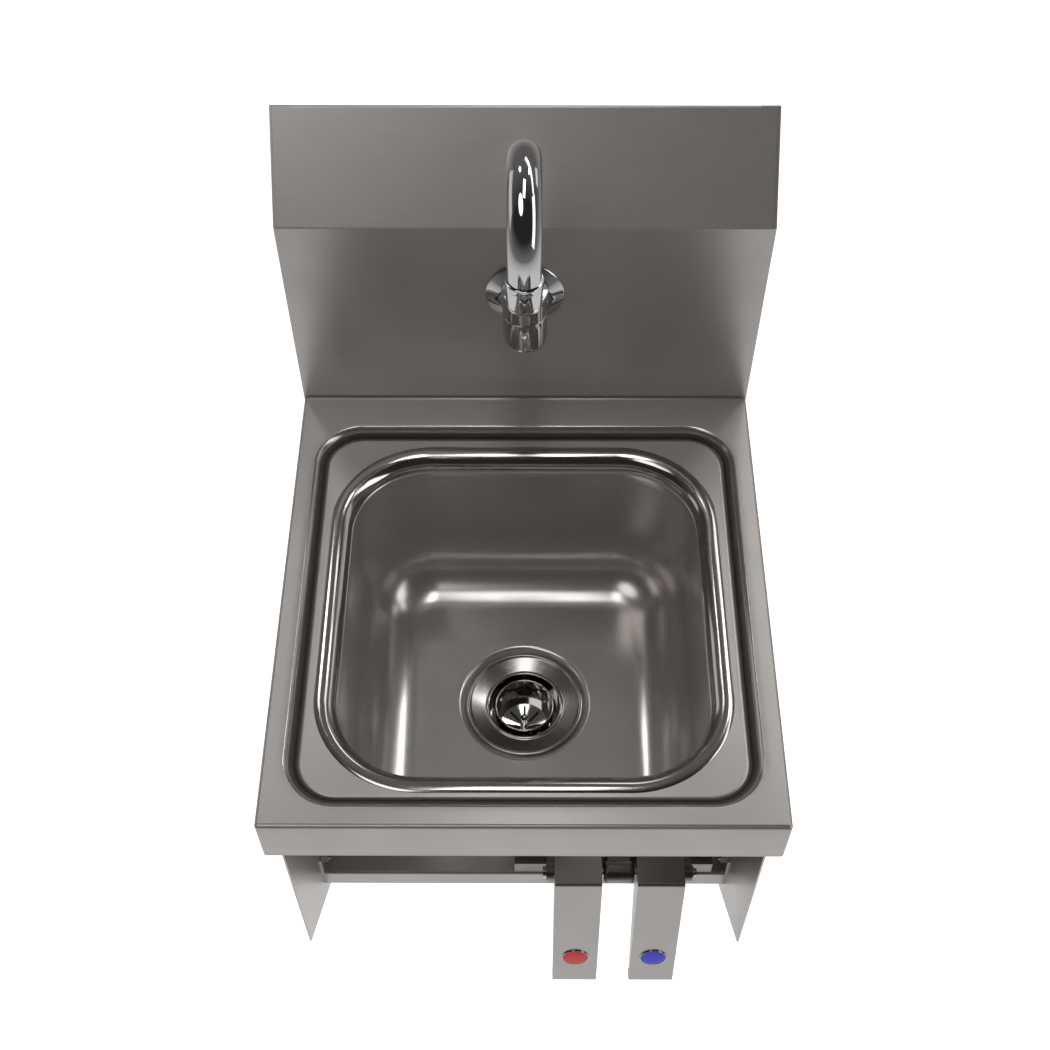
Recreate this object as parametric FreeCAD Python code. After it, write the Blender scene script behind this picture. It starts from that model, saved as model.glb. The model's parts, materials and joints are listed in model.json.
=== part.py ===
"""A wall-hung stainless steel hand wash sink with a gooseneck spout and a two-pedal knee valve.

Sizes are in millimetres. The model is laid out from the point where the deck's top meets the splash's
face on the centre line: x to the right, y towards the wall, z up. Every piece is then moved so that the
origin is the middle of the wall bracket's screw holes, on the wall.
"""
import FreeCAD, Part
import math
import os

V = FreeCAD.Vector

# ---------------------------------------------------------------- clearances
rest_gap = 0.3              # between pieces that only lie against each other
thread_gap = 0.05           # between a thread's two sides, on the radius
running_gap = 0.05          # between a shaft and the hole that it turns in, on the radius

# ---------------------------------------------------------------- sink top
sheet = 1.2                 # thickness of the sink's sheet
sink_width = 304.8          # over the side aprons
deck_length = 319.3         # front apron's face to splash's face
apron_drop = 39.5           # deck's top to the aprons' lower edge
apron_return = 11.0         # how far the front apron's lower edge is turned back
edge_bend_r = 2.0           # outer radius of the folded edges
wall_gap = 50.8             # splash's face to the wall
border_side = 12.2          # raised border at the sides
border_front = 12.3         # raised border in front
border_rear = 25.3          # raised border behind the bowl
step_run = 6.5              # width of the sloped step inside the border
step_drop = 5.5             # border's top to the lower deck
step_corner_r = 32.0        # plan radius of the step's outer corners

# ---------------------------------------------------------------- bowl
bowl_side_margin = 38.4     # side aprons' face to the bowl's side walls
bowl_front_margin = 36.2    # front apron's face to the bowl's front wall
bowl_rear_margin = 52.1     # bowl's rear wall to the splash's face
bowl_width = sink_width - 2 * bowl_side_margin                      # inside, along x
bowl_length = deck_length - bowl_front_margin - bowl_rear_margin    # inside, along y
bowl_to_splash = bowl_rear_margin + bowl_length / 2                 # bowl's middle to the splash's face
bowl_corner_r = 52.0        # plan radius of the bowl's corners
bowl_depth = 127.0          # deck's top to the bowl's floor
bowl_draft = 4.0            # how far each wall leans in from top to floor
bowl_fillet_r = 38.0        # radius between wall and floor
roll_r = 10.5               # radius of the rolled edge
collar_length = 2.0         # straight stretch under the rolled edge
recess_r = 44.3             # drain recess, at the floor
recess_seat_r = 41.0        # drain recess, at its seat
recess_drop = 4.5           # floor to seat
drain_hole_r = 32.0

# ---------------------------------------------------------------- splash and its ends
splash_bend = 156.4         # deck's top to the bend
splash_corner = 212.0       # deck's top to where slope and hook flange would meet
splash_bend_r = 0.3         # inner radius of the bends
hook_flange = 32.0          # length of the flange that hangs on the bracket
end_proud = 0.5             # how far the ends stand above the slope
end_tab = 11.5              # width of the ends' wall flange, and of the notch in the hook flange
end_wall_top = 208.0        # deck's top to the ends' top at the wall
slope_lip = 1.0             # how far the slope runs past its bend beside the notches
spout_hole_z = 102.5        # spout's hole above the deck
spout_hole_r = 11.0

# ---------------------------------------------------------------- wall bracket
bracket_sheet = 1.5
bracket_width = 220.0
bracket_plate = 29.0        # height of the plate that lies on the wall
bracket_lip = 16.5          # height of the hook's lip
bracket_hole_pitch = 152.4
bracket_hole_r = 3.5

# ---------------------------------------------------------------- side panels
panel_front = 24.3          # deck's front face to a panel's front edge
panel_tip_z = 242.5         # deck's top to the panel's front tip
panel_bottom_z = 330.0      # deck's top to the panel's lower edge
panel_top_gap = 2.0         # under the deck's sheet
panel_flange = 26.0         # width of the wall flange
panel_hole_inset = 14.5     # wall flange's hole to the panel's outer face
panel_hole_high = 80.0      # deck's top to the upper holes
panel_hole_low = 290.0      # deck's top to the lower holes
panel_hole_r = 3.5

# ---------------------------------------------------------------- crossbar
bar_sheet = 1.5
bar_front = 235.0           # splash's face to the lip's face
bar_top = 265.5             # deck's top to the bar's top
bar_lip = 18.3              # height of the front lip
bar_rear_lip = 14.0         # height of the rear lip
bar_depth = 40.0
bar_bend_r = 1.0            # inner radius of the bends
bar_end_height = 21.5       # end flanges above the bar's top
bar_bolt_r = 2.5
bar_bolt_behind = 9.0       # lip's face to the front bolts
bar_bolt_pitch = 14.0
bar_bolt_ys = (-bar_front + bar_bolt_behind, -bar_front + bar_bolt_behind + bar_bolt_pitch)
bar_bolt_rise = 11.0        # bolts above the bar's top
bar_bolt_head = 1.1         # height of the bolts' heads
bar_bolt_head_r = 4.4
bar_bolt_tail = 1.5         # how far the bolts stand out of their nuts
bar_nut_flats = 8.0
bar_nut_thick = 4.0

# ---------------------------------------------------------------- drain
flange_r = 40.2
flange_lip = 3.7            # lip's height over its underside
dish_fall = 4.2             # bowl's floor to the lowest part of the flange's dish
neck_r = 28.5               # threaded neck, outside
hole_gap = 0.5              # neck's shoulder to the bowl's hole, on the radius
throat_r = 24.4             # throat, inside
flange_edge = 0.8           # rounding of the flange's rim
flange_rim = 2.0            # width of the rim's flat top
ring_r = 25.6               # bright ring round the throat's mouth
ring_rise = 0.9             # ring's height over the dish
ring_width = 1.0
neck_bottom = 163.0         # deck's top to the neck's lower end
outlet_thread_r = 22.0
outlet_slope = 4.0          # height of the slope from the neck to the outlet
outlet_r = 17.5             # water way below the cup
drain_end = 180.0           # deck's top to the outlet's lower end
ledge_z = 160.0             # deck's top to the ledge that the cup rests on
ledge_r = 18.5
ledge_thick = 1.5
gasket_thick = 3.0
gasket_r = 39.5
fibre_thick = 1.2
fibre_r = 37.5
locknut_thick = 9.5
locknut_r = 34.5
locknut_lug = 3.5           # how far the lugs stand out
locknut_lug_width = 8.0
locknut_lug_step = 2.0      # lugs' top to the nut's top
locknut_lugs = 6
tail_r = 19.05              # 1.5 in tailpiece
tail_wall = 1.25
tail_lip = 1.5
tail_washer = 2.0
tail_end = 235.0            # deck's top to the tailpiece's end
tail_nut_flats = 56.0
tail_nut_floor = 3.0
tail_nut_cover = 9.0        # how far the nut reaches over the outlet
tail_lip_gap = 0.5          # lip's edge to the outlet's thread, on the radius
tail_relief = 0.25          # how much the tube is relieved where the nut sits

# ---------------------------------------------------------------- crumb cup
cup_r = 20.2
cup_wall = 1.0
cup_top = 131.3             # deck's top to the cup's rim
cup_dish = 3.0              # how much the floor is dished
cup_bead_r = 0.7
slot_rows = 2
slots_per_row = 12
slot_width = 1.6
slot_height = 5.0
slot_pitch_z = 8.5
floor_slots = 8
floor_slot_in = 5.0
floor_slot_out = 15.0
post_r = 1.6
knob_r = 2.6
knob_z = 149.0              # deck's top to the knob's middle
stopper_r = 16.0
stopper_thick = 4.0
stopper_chamfer = 1.2
post_collar_r = 3.0
post_collar = 2.0           # cup's floor to the collar's top
post_head_r = 3.6
post_head = 1.5

# ---------------------------------------------------------------- spout
spout_r = 9.525             # 3/4 in tube
spout_wall = 1.2
spout_axis_y = -27.0        # spout's upright axis in front of the splash
arch_r = 34.0
arch_z = 218.0              # deck's top to the arch's centre
spout_foot_z = 108.7        # lower end of the tube in the body, above the water inlet
socket_floor_z = 95.0       # floor of the chamber under the tube
body_r = 13.8
body_bottom = 87.4
body_seam = 113.5
body_fillet = 5.0
bonnet_top = 133.0
bonnet_ring = 0.8           # how far the ring at the bonnet's top stands out
bonnet_ring_height = 2.6
body_neck_r = 12.4
body_neck_top = 122.0
socket_r = 11.4
sleeve_r = 11.3
seal_section_r = 0.9
seal_zs = (112.0, 117.5)
shank_r = 10.3
shank_bore_r = 5.5
hub_r = 10.9                # body's hub round the shank
shank_end = 16.0            # behind the splash's face
escutcheon_r = 25.1
escutcheon_rise = 7.0
shank_washer_thick = 2.0
shank_washer_r = 15.0
locknut_flats = 27.0
shank_nut_thick = 7.5
elbow_y = 27.0              # elbow's lower axis behind the splash's face
elbow_r = 12.5
elbow_start = 12.0
elbow_drop = 20.5
elbow_leg_r = 9.0

# ---------------------------------------------------------------- aerator
ring_top = 208.0
ring_bottom = 204.5
aerator_ring_r = 10.7
aerator_ring_round = 0.7
aerator_bottom = 188.9
aerator_r = 10.3
aerator_taper = 0.5
aerator_wall = 0.9
tube_in_aerator = 5.0
aerator_washer_thick = 1.2
insert_hole_r = 0.7
insert_rings = ((3.0, 6), (6.0, 12))

# ---------------------------------------------------------------- knee valve
valve_to_side = 84.2        # valve's middle to the right side apron's face
valve_x = sink_width / 2 - valve_to_side
pedal_pitch = 59.1
pedal_width = 33.9
pedal_sheet = 1.5
pedal_bend_r = 1.5
hinge_ahead = 11.0          # crossbar's lip to the hinge's axis
hinge_rise = 29.5           # crossbar's top to the hinge's axis
hinge_y = -bar_front - hinge_ahead
hinge_z = -bar_top + hinge_rise
plunger_drop = 17.5         # hinge axis to the plungers' axes
pedal_ahead = 14.0          # hinge's axis to the face's top corner
pedal_rise = 9.5            # hinge's axis to the top of the pedals' arms
pedal_face_y = hinge_y - pedal_ahead
pedal_top_z = hinge_z + pedal_rise
pedal_run = 21.0            # how far the face's foot is in front of its top
pedal_fall = 137.0          # height of the face
pedal_arm_behind = 14.0     # hinge's axis to the arms' rear edge
pedal_arm_rear_y = hinge_y + pedal_arm_behind
pedal_hem = 10.0            # length of the turned-back foot
pedal_flange_behind = 9.5   # hinge's axis to the side flanges' rear edge
pedal_flange_drop = 10.0    # hinge's axis to the side flanges' knee
pedal_flange_rear_y = hinge_y + pedal_flange_behind
pedal_flange_knee_z = hinge_z - pedal_flange_drop
pedal_flange_foot = 5.0     # depth of the side flanges at the foot
barrel_r = 8.0
barrel_length = 22.1
barrel_fillet = 3.0
ear_r = 6.5
ear_width = 5.5
ear_gap = 0.4               # ear to pedal
pin_r = 3.0
pin_head_r = 4.2
pin_head = 2.5
pin_tail = 2.5              # pin's end past the clip
clip_thick = 1.0
clip_r = 5.0
clip_mouth = 3.2
manifold_r = 11.5
manifold_behind = 20.0      # crossbar's lip to the manifold's axis
manifold_y = -bar_front + manifold_behind
ear_reach = pedal_pitch / 2 + pedal_width / 2 + ear_gap + ear_width
block_under_ear = 0.8       # how far the hot block reaches under its ear
hot_block_width = 23.9
cold_block_width = 17.6
hot_block = (-ear_reach + block_under_ear - hot_block_width, -ear_reach + block_under_ear)
cold_block = (ear_reach, ear_reach + cold_block_width)      # from the valve's middle, along x
block_setback = 1.4         # crossbar's lip to the blocks' front pads
block_pad_depth = 8.6
block_behind = 12.0         # manifold's axis to the blocks' rear
block_front_y = -bar_front + block_setback
block_step_y = block_front_y + block_pad_depth
block_rear_y = manifold_y + block_behind
block_pad = 14.7            # height of the blocks' front pads
block_height = 25.0
bore_r = 8.0                # cartridge and inlet bores
bore_past_axis = 8.0        # cartridge bores beyond the manifold's axis
collar_r = 9.5
collar_round = 1.5
cartridge_ahead = 25.0      # manifold's axis to the bushes' front
cartridge_inner = 2.0       # manifold's axis to the bushes' inner end
cartridge_front_y = manifold_y - cartridge_ahead
cartridge_rear_y = manifold_y - cartridge_inner
stem_r = 3.0
button_r = 6.0
button_thick = 4.5
button_round = 3.0          # radius of the button's front edge
button_gap = 0.3
plunger_stop = 3.2          # thickness of the plunger's inner head
plunger_head_r = 6.2
seat_thick = 1.8
spring_wire_r = 0.6
spring_r = 5.2
spring_turns = 6
inlet_past_hot_ear = 11.2   # ears' outer side to the nipples' axes
inlet_past_cold_ear = 8.8
inlet_x_hot = -ear_reach - inlet_past_hot_ear
inlet_x_cold = ear_reach + inlet_past_cold_ear
inlet_root = 8.0            # how far the nipples are screwed into the blocks
inlet_root_bore_r = 5.0
inlet_neck_r = 10.2         # through the bar and its locknut
inlet_r = 10.45             # thread for the hose
inlet_length = 24.0         # length of that thread
inlet_bore_r = 6.0
inlet_nut_flats = 27.0
inlet_nut_thick = 6.0
outlet_boss_r = 9.0
outlet_boss_behind = 19.0   # manifold's axis to the boss's end
outlet_boss_y = manifold_y + outlet_boss_behind
index_r = 10.3
index_thick = 1.6
index_up = 36.3             # foot of the face to the disc's middle

# ---------------------------------------------------------------- supply tube
supply_r = 5.0
supply_wall = 1.0
supply_bend_r = 30.0
supply_nut_flats = 19.0
supply_nut_length = 12.0
supply_reach = 3.5          # how far the tube stands in its sockets
ferrule_length = 4.0
ferrule_r = 6.6
riser_z = -70.0             # where the riser starts to slant
slant_top_z = 20.0          # where it stands under the elbow

# ---------------------------------------------------------------- derived places
half_width = sink_width / 2
floor_z = -bowl_depth
seat_z = floor_z - recess_drop
collar_z = -(step_drop + roll_r + collar_length)
drain = V(0, -bowl_to_splash, 0)
panel_face = half_width - sheet
flange_drop_z = splash_corner - hook_flange
hook_floor_z = flange_drop_z - rest_gap
bracket_hole_z = hook_floor_z - bracket_plate / 2
plunger_z = hinge_z - plunger_drop
pedal_xs = {"hot": valve_x - pedal_pitch / 2, "cold": valve_x + pedal_pitch / 2}
face_slope = pedal_run / pedal_fall
face_length = math.hypot(pedal_run, pedal_fall)
inner_face_at_plunger = (pedal_face_y - (pedal_top_z - plunger_z) * face_slope
                         + pedal_sheet * face_length / pedal_fall)
button_tip_y = inner_face_at_plunger + button_gap + (button_r - button_round) * face_slope
ORIGIN = V(0, wall_gap, bracket_hole_z)


# ---------------------------------------------------------------- shape helpers
def box(x0, x1, y0, y1, z0, z1):
    """A block between two corners."""
    return Part.makeBox(x1 - x0, y1 - y0, z1 - z0, V(x0, y0, z0))


def rod(start, end, radius):
    """A cylinder from one point to another."""
    return Part.makeCylinder(radius, (end - start).Length, start, end - start)


def ring(start, end, outer, inner):
    """A tube from one point to another."""
    return rod(start, end, outer).cut(rod(start, end, inner))


def along(point, x=0.0, y=0.0, z=0.0):
    """A point moved by x, y and z."""
    return point + V(x, y, z)


def hexagon(start, end, flats):
    """A hexagonal bar from one point to another, with two flats level."""
    axis = (end - start).normalize()
    side = V(1, 0, 0) if abs(axis.z) > 0.9 else V(0, 0, 1)
    other = axis.cross(side)
    reach = flats / math.sqrt(3)
    corners = []
    for k in range(7):
        turn = math.radians(30 + 60 * k)
        corners.append(start + side * (reach * math.cos(turn)) + other * (reach * math.sin(turn)))
    return Part.Face(Part.makePolygon(corners)).extrude(end - start)


def turned(profile, centre):
    """A closed profile of (radius, z) points turned round the upright axis at centre."""
    points = [V(centre.x + r, centre.y, centre.z + z) for r, z in profile]
    face = Part.Face(Part.makePolygon(points + points[:1]))
    return face.revolve(centre, V(0, 0, 1), 360)


def rounded_rectangle(width, length, radius, z):
    """A wire round the bowl's middle, width along x and length along y, with round corners."""
    hx, hy = width / 2, length / 2
    bulge = radius * (1 - math.sqrt(0.5))
    quarter = [(1, 1), (-1, 1), (-1, -1), (1, -1)]
    edges = []
    for k, (sx, sy) in enumerate(quarter):
        near_x = V(sx * hx, sy * (hy - radius), z)
        near_y = V(sx * (hx - radius), sy * hy, z)
        middle = V(sx * (hx - bulge), sy * (hy - bulge), z)
        first, last = (near_x, near_y) if k % 2 == 0 else (near_y, near_x)
        edges.append(Part.Arc(first, middle, last).toShape())
        nx, ny = quarter[(k + 1) % 4]
        if k % 2 == 0:
            start = V(nx * (hx - radius), ny * hy, z)
        else:
            start = V(nx * hx, ny * (hy - radius), z)
        edges.append(Part.LineSegment(last, start).toShape())
    wire = Part.Wire(edges)
    wire.translate(drain)
    return wire


def tray(top, bottom):
    """The solid between two rounded rectangles."""
    return Part.makeLoft([top, bottom], True, True)


def edges_in(shape, x0, x1, y0, y1, z0, z1, slack=0.01):
    """The edges of a shape that lie inside a box."""
    found = []
    for edge in shape.Edges:
        b = edge.BoundBox
        inside_x = b.XMin >= x0 - slack and b.XMax <= x1 + slack
        inside_y = b.YMin >= y0 - slack and b.YMax <= y1 + slack
        inside_z = b.ZMin >= z0 - slack and b.ZMax <= z1 + slack
        if inside_x and inside_y and inside_z:
            found.append(edge)
    return found


def offset_path(points, distance):
    """The points of a path of straight runs moved to its left by a distance."""
    normals = []
    for (ax, ay), (bx, by) in zip(points, points[1:]):
        run = math.hypot(bx - ax, by - ay)
        normals.append((-(by - ay) / run, (bx - ax) / run))
    moved = []
    for k, (px, py) in enumerate(points):
        n0 = normals[max(k - 1, 0)]
        n1 = normals[min(k, len(normals) - 1)]
        scale = distance / (1 + n0[0] * n1[0] + n0[1] * n1[1])
        moved.append((px + (n0[0] + n1[0]) * scale, py + (n0[1] + n1[1]) * scale))
    return moved


def rounded_runs(points, radii, place):
    """Edges along a path whose corners are rounded. place turns (a, b) into a point in space."""
    edges = []
    here = points[0]
    for k in range(1, len(points) - 1):
        before, corner, after = points[k - 1], points[k], points[k + 1]
        ux, uy = before[0] - corner[0], before[1] - corner[1]
        wx, wy = after[0] - corner[0], after[1] - corner[1]
        lu, lw = math.hypot(ux, uy), math.hypot(wx, wy)
        ux, uy, wx, wy = ux / lu, uy / lu, wx / lw, wy / lw
        half = math.acos(max(-1.0, min(1.0, ux * wx + uy * wy))) / 2
        back = radii[k] / math.tan(half)
        if back < 1e-6:
            edges.append(Part.LineSegment(place(*here), place(*corner)).toShape())
            here = corner
            continue
        start = (corner[0] + ux * back, corner[1] + uy * back)
        end = (corner[0] + wx * back, corner[1] + wy * back)
        bx, by = ux + wx, uy + wy
        lb = math.hypot(bx, by)
        reach = radii[k] / math.sin(half) - radii[k]
        middle = (corner[0] + bx / lb * reach, corner[1] + by / lb * reach)
        edges.append(Part.LineSegment(place(*here), place(*start)).toShape())
        edges.append(Part.Arc(place(*start), place(*middle), place(*end)).toShape())
        here = end
    edges.append(Part.LineSegment(place(*here), place(*points[-1])).toShape())
    return edges


def folded(points, thickness, bend_r, place, depth):
    """Folded sheet: points run along its right-hand face, bend_r is the radius inside each bend."""
    left = offset_path(points, thickness)
    right_radii, left_radii = [0.0], [0.0]
    for (ax, ay), (bx, by), (cx, cy) in zip(points, points[1:], points[2:]):
        turns_left = (bx - ax) * (cy - by) - (by - ay) * (cx - bx) > 0
        outer = bend_r + thickness if bend_r else 0.0
        right_radii.append(outer if turns_left else bend_r)
        left_radii.append(bend_r if turns_left else outer)
    right_radii.append(0.0)
    left_radii.append(0.0)
    edges = rounded_runs(points, right_radii, place)
    edges += rounded_runs(left, left_radii, place)
    edges.append(Part.LineSegment(place(*points[0]), place(*left[0])).toShape())
    edges.append(Part.LineSegment(place(*points[-1]), place(*left[-1])).toShape())
    wire = Part.Wire(Part.sortEdges(edges)[0])
    return Part.Face(wire).extrude(depth)


def plate_yz(points, x, thickness):
    """A flat plate of a (y, z) outline, from x towards +x."""
    corners = [V(x, y, z) for y, z in points]
    return Part.Face(Part.makePolygon(corners + corners[:1])).extrude(V(thickness, 0, 0))


def mirrored(shape):
    """The shape on the other side of the sink's middle plane."""
    return shape.mirror(V(0, 0, 0), V(1, 0, 0))


def save(node, shape):
    """Writes one piece, moved to the wall bracket's origin."""
    piece = shape.removeSplitter() if len(shape.Solids) == 1 else shape
    if len(piece.Solids) == 1:
        piece = piece.Solids[0]
    piece = piece.translated(V(0, 0, 0) - ORIGIN)
    piece.exportStep("parts/" + node + ".step")
    b = piece.BoundBox
    print(f"{node:18s} {len(piece.Solids):2d} {piece.Volume / 1000:9.3f} cm3  valid {piece.isValid()}"
          f"  x {b.XMin:7.1f} {b.XMax:7.1f}  y {b.YMin:7.1f} {b.YMax:7.1f}  z {b.ZMin:7.1f} {b.ZMax:7.1f}")


# ---------------------------------------------------------------- sink top and bowl
def deck_block(inset, under):
    """The deck's block with its step and its rolled bowl opening, for a face `inset` inside the sheet."""
    block = box(-half_width + inset, half_width - inset, -deck_length + inset, under,
                -apron_drop - under, -inset)
    bend = edge_bend_r - inset
    front = -deck_length + inset
    side = half_width - inset
    edges = edges_in(block, -side, side, front, front, -inset, -inset)
    edges += edges_in(block, -side, -side, front, under, -inset, -inset)
    edges += edges_in(block, side, side, front, under, -inset, -inset)
    edges += edges_in(block, -side, side, front, front, -apron_drop - under, -inset)
    block = block.makeFillet(bend, [e for e in edges if e.BoundBox.ZMax > -apron_drop])
    slope = math.atan2(step_drop, step_run)
    grow = inset * (1 - math.cos(slope)) / math.sin(slope)
    block = block.cut(step_pocket(grow, inset))
    hole_w, hole_l = bowl_width + 2 * inset, bowl_length + 2 * inset
    top_z = -step_drop - inset
    hole = tray(rounded_rectangle(hole_w, hole_l, bowl_corner_r + inset, 1),
                rounded_rectangle(hole_w, hole_l, bowl_corner_r + inset, -apron_drop - under - 1))
    block = block.cut(hole)
    y0, y1 = drain.y - hole_l / 2, drain.y + hole_l / 2
    mouth = edges_in(block, -hole_w / 2, hole_w / 2, y0, y1, top_z, top_z)
    return block.makeFillet(roll_r - inset, mouth)


def step_pocket(grow, lower):
    """The space inside the raised border: wider at the top, with the lower deck as its floor."""
    front, rear = -deck_length + border_front, -border_rear
    width = sink_width - 2 * border_side + 2 * grow
    length = rear - front + 2 * grow
    middle = (front + rear) / 2 - drain.y
    top = rounded_rectangle(width, length, step_corner_r + grow, -lower)
    low = rounded_rectangle(width - 2 * step_run, length - 2 * step_run,
                            step_corner_r - step_run + grow, -step_drop - lower)
    above = top.translated(V(0, 0, 5))
    pocket = tray(top, low).fuse(tray(above, top))
    pocket.translate(V(0, middle, 0))
    return pocket


def make_deck():
    """One folded sheet: front and side aprons, raised border, sloped step, rolled edge and collar."""
    top = deck_block(0.0, 0.0)
    under = deck_block(sheet, 1.0)
    skin = top.cut(under)
    reach = 3 * sheet
    wide, long, corner = bowl_width + 2 * reach, bowl_length + 2 * reach, bowl_corner_r + reach
    below = tray(rounded_rectangle(wide, long, corner, collar_z),
                 rounded_rectangle(wide, long, corner, -apron_drop - reach))
    skin = skin.cut(below)
    corner = edge_bend_r + 1
    hem = box(-half_width + corner, half_width - corner, -deck_length + sheet / 2,
              -deck_length + sheet + apron_return, -apron_drop, -apron_drop + sheet)
    return skin.fuse(hem)


def bowl_solid(grow, top_z, floor):
    """The bowl's form, `grow` outside its inner face."""
    width, length = bowl_width + 2 * grow, bowl_length + 2 * grow
    radius = bowl_corner_r + grow
    upper = rounded_rectangle(width, length, radius, top_z)
    lower = rounded_rectangle(width - 2 * bowl_draft, length - 2 * bowl_draft, radius - bowl_draft, floor)
    form = tray(upper, lower)
    foot = edges_in(form, -width, width, drain.y - length, drain.y + length, floor, floor)
    return form.makeFillet(bowl_fillet_r + grow, foot)


def make_bowl():
    """The drawn bowl, with a round recess for the drain in its floor."""
    outside = bowl_solid(sheet, collar_z, floor_z - sheet)
    inside = bowl_solid(0.0, collar_z, floor_z)
    seat_outside = Part.makeCone(recess_seat_r + sheet, recess_r + sheet, recess_drop,
                                 along(drain, z=seat_z - sheet))
    seat_inside = Part.makeCone(recess_seat_r, recess_r, recess_drop, along(drain, z=seat_z))
    shell = outside.fuse(seat_outside).cut(inside).cut(seat_inside)
    hole = rod(along(drain, z=seat_z - 2 * sheet), along(drain, z=floor_z), drain_hole_r)
    return shell.cut(hole)


def splash_slope():
    """The slope's far corner, its upward direction in (y, z), and the length that its bend takes off."""
    corner = (wall_gap - sheet, splash_corner)
    run, rise = corner[0], splash_corner - splash_bend
    length = math.hypot(run, rise)
    half = math.atan2(run, rise) / 2
    return corner, (run / length, rise / length), (splash_bend_r + sheet) / math.tan(half)


def make_backsplash():
    """One folded sheet: upright, slope, and between its notches the flange that hangs on the bracket."""
    corner, (along_y, along_z), back = splash_slope()
    edge = back - slope_lip
    raw_edge = (corner[0] - along_y * edge, corner[1] - along_z * edge)
    foot = [(0.0, splash_bend), (0.0, -apron_drop)]
    inner = half_width - end_tab
    body = folded([(corner[0], flange_drop_z), corner] + foot, sheet, splash_bend_r,
                  lambda y, z: V(-inner, y, z), V(2 * inner, 0, 0))
    side = folded([raw_edge] + foot, sheet, splash_bend_r,
                  lambda y, z: V(inner, y, z), V(panel_face - inner, 0, 0))
    body = body.fuse([side, mirrored(side)])
    for x in (-half_width, panel_face):
        body = body.fuse(box(x, x + sheet, 0, sheet, -apron_drop, splash_bend - 1.0))
    hole = rod(V(0, -1, spout_hole_z), V(0, sheet + 1, spout_hole_z), spout_hole_r)
    return body.cut(hole)


def make_splash_end():
    """The right end: a side plate that stands a little above the slope, and a flange on the wall."""
    low = -apron_drop
    bend = splash_bend - 1.0
    corner, (along_y, along_z), back = splash_slope()
    edge = back - slope_lip
    crest = (corner[0] - along_y * edge - along_z * end_proud,
             corner[1] - along_z * edge + along_y * end_proud)
    outline = [(sheet, low), (wall_gap, low), (wall_gap, end_wall_top), crest,
               (0.0, splash_bend + end_proud), (0.0, bend), (sheet, bend)]
    side = plate_yz(outline, panel_face, sheet)
    tab = box(half_width - end_tab, panel_face, wall_gap - sheet, wall_gap, low, end_wall_top)
    return side.fuse(tab)


def make_wall_bracket():
    """The hooked strip that is screwed to the wall and carries the splash's flange."""
    lip_y = wall_gap - 2 * sheet - rest_gap
    plate_low = hook_floor_z - bracket_plate
    path = [(lip_y, hook_floor_z + bracket_lip), (lip_y, hook_floor_z),
            (wall_gap, hook_floor_z), (wall_gap, plate_low)]
    half = bracket_width / 2
    strip = folded(path[::-1], bracket_sheet, 0.0, lambda y, z: V(-half, y, z), V(bracket_width, 0, 0))
    for side in (-1, 1):
        x = side * bracket_hole_pitch / 2
        strip = strip.cut(rod(V(x, wall_gap - 5, bracket_hole_z), V(x, wall_gap + 1, bracket_hole_z),
                              bracket_hole_r))
    return strip


# ---------------------------------------------------------------- side panels and crossbar
def make_side_panel():
    """The right panel: cut at 45 degrees in front, with a flange on the wall."""
    front = -deck_length + panel_front
    top = -sheet - panel_top_gap
    low = -panel_bottom_z
    tip = -panel_tip_z
    path = [(panel_face, front), (panel_face, wall_gap), (panel_face - panel_flange, wall_gap)]
    channel = folded(path, sheet, 1.0, lambda x, y: V(x, y, low), V(0, 0, top - low))
    outline = [(front, top), (front, tip), (front + tip - low, low), (wall_gap, low),
               (wall_gap, -apron_drop - rest_gap), (-rest_gap, -apron_drop - rest_gap), (-rest_gap, top)]
    keep = plate_yz(outline, panel_face - panel_flange - 1, panel_flange + 2)
    panel = channel.common(keep)
    hole_x = panel_face - panel_hole_inset
    for z in (-panel_hole_high, -panel_hole_low):
        panel = panel.cut(rod(V(hole_x, wall_gap - 5, z), V(hole_x, wall_gap + 1, z), panel_hole_r))
    for y in bar_bolt_ys:
        z = -bar_top + bar_bolt_rise
        panel = panel.cut(rod(V(panel_face - 5, y, z), V(panel_face + 1, y, z), bar_bolt_r + thread_gap))
    return panel


def make_crossbar():
    """The channel between the panels, with a front lip, a rear lip and an upturned flange at each end."""
    front, rear = -bar_front, -bar_front + bar_depth
    top = -bar_top
    end_x = panel_face - sheet
    path = [(rear, top - bar_rear_lip), (rear, top), (front, top), (front, top - bar_lip)]
    bar = folded(path, bar_sheet, bar_bend_r, lambda y, z: V(-end_x, y, z), V(2 * end_x, 0, 0))
    for x in (-end_x, end_x - bar_sheet):
        bar = bar.fuse(box(x, x + bar_sheet, front, rear, top - bar_lip / 2, top + bar_end_height))
    z = top + bar_bolt_rise
    for y in bar_bolt_ys:
        bar = bar.cut(rod(V(-end_x - 1, y, z), V(end_x + 1, y, z), bar_bolt_r + thread_gap))
    for offset in (inlet_x_hot, inlet_x_cold):
        x = valve_x + offset
        bar = bar.cut(rod(V(x, manifold_y, top - 5), V(x, manifold_y, top + 5), inlet_neck_r + rest_gap))
    return bar


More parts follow.
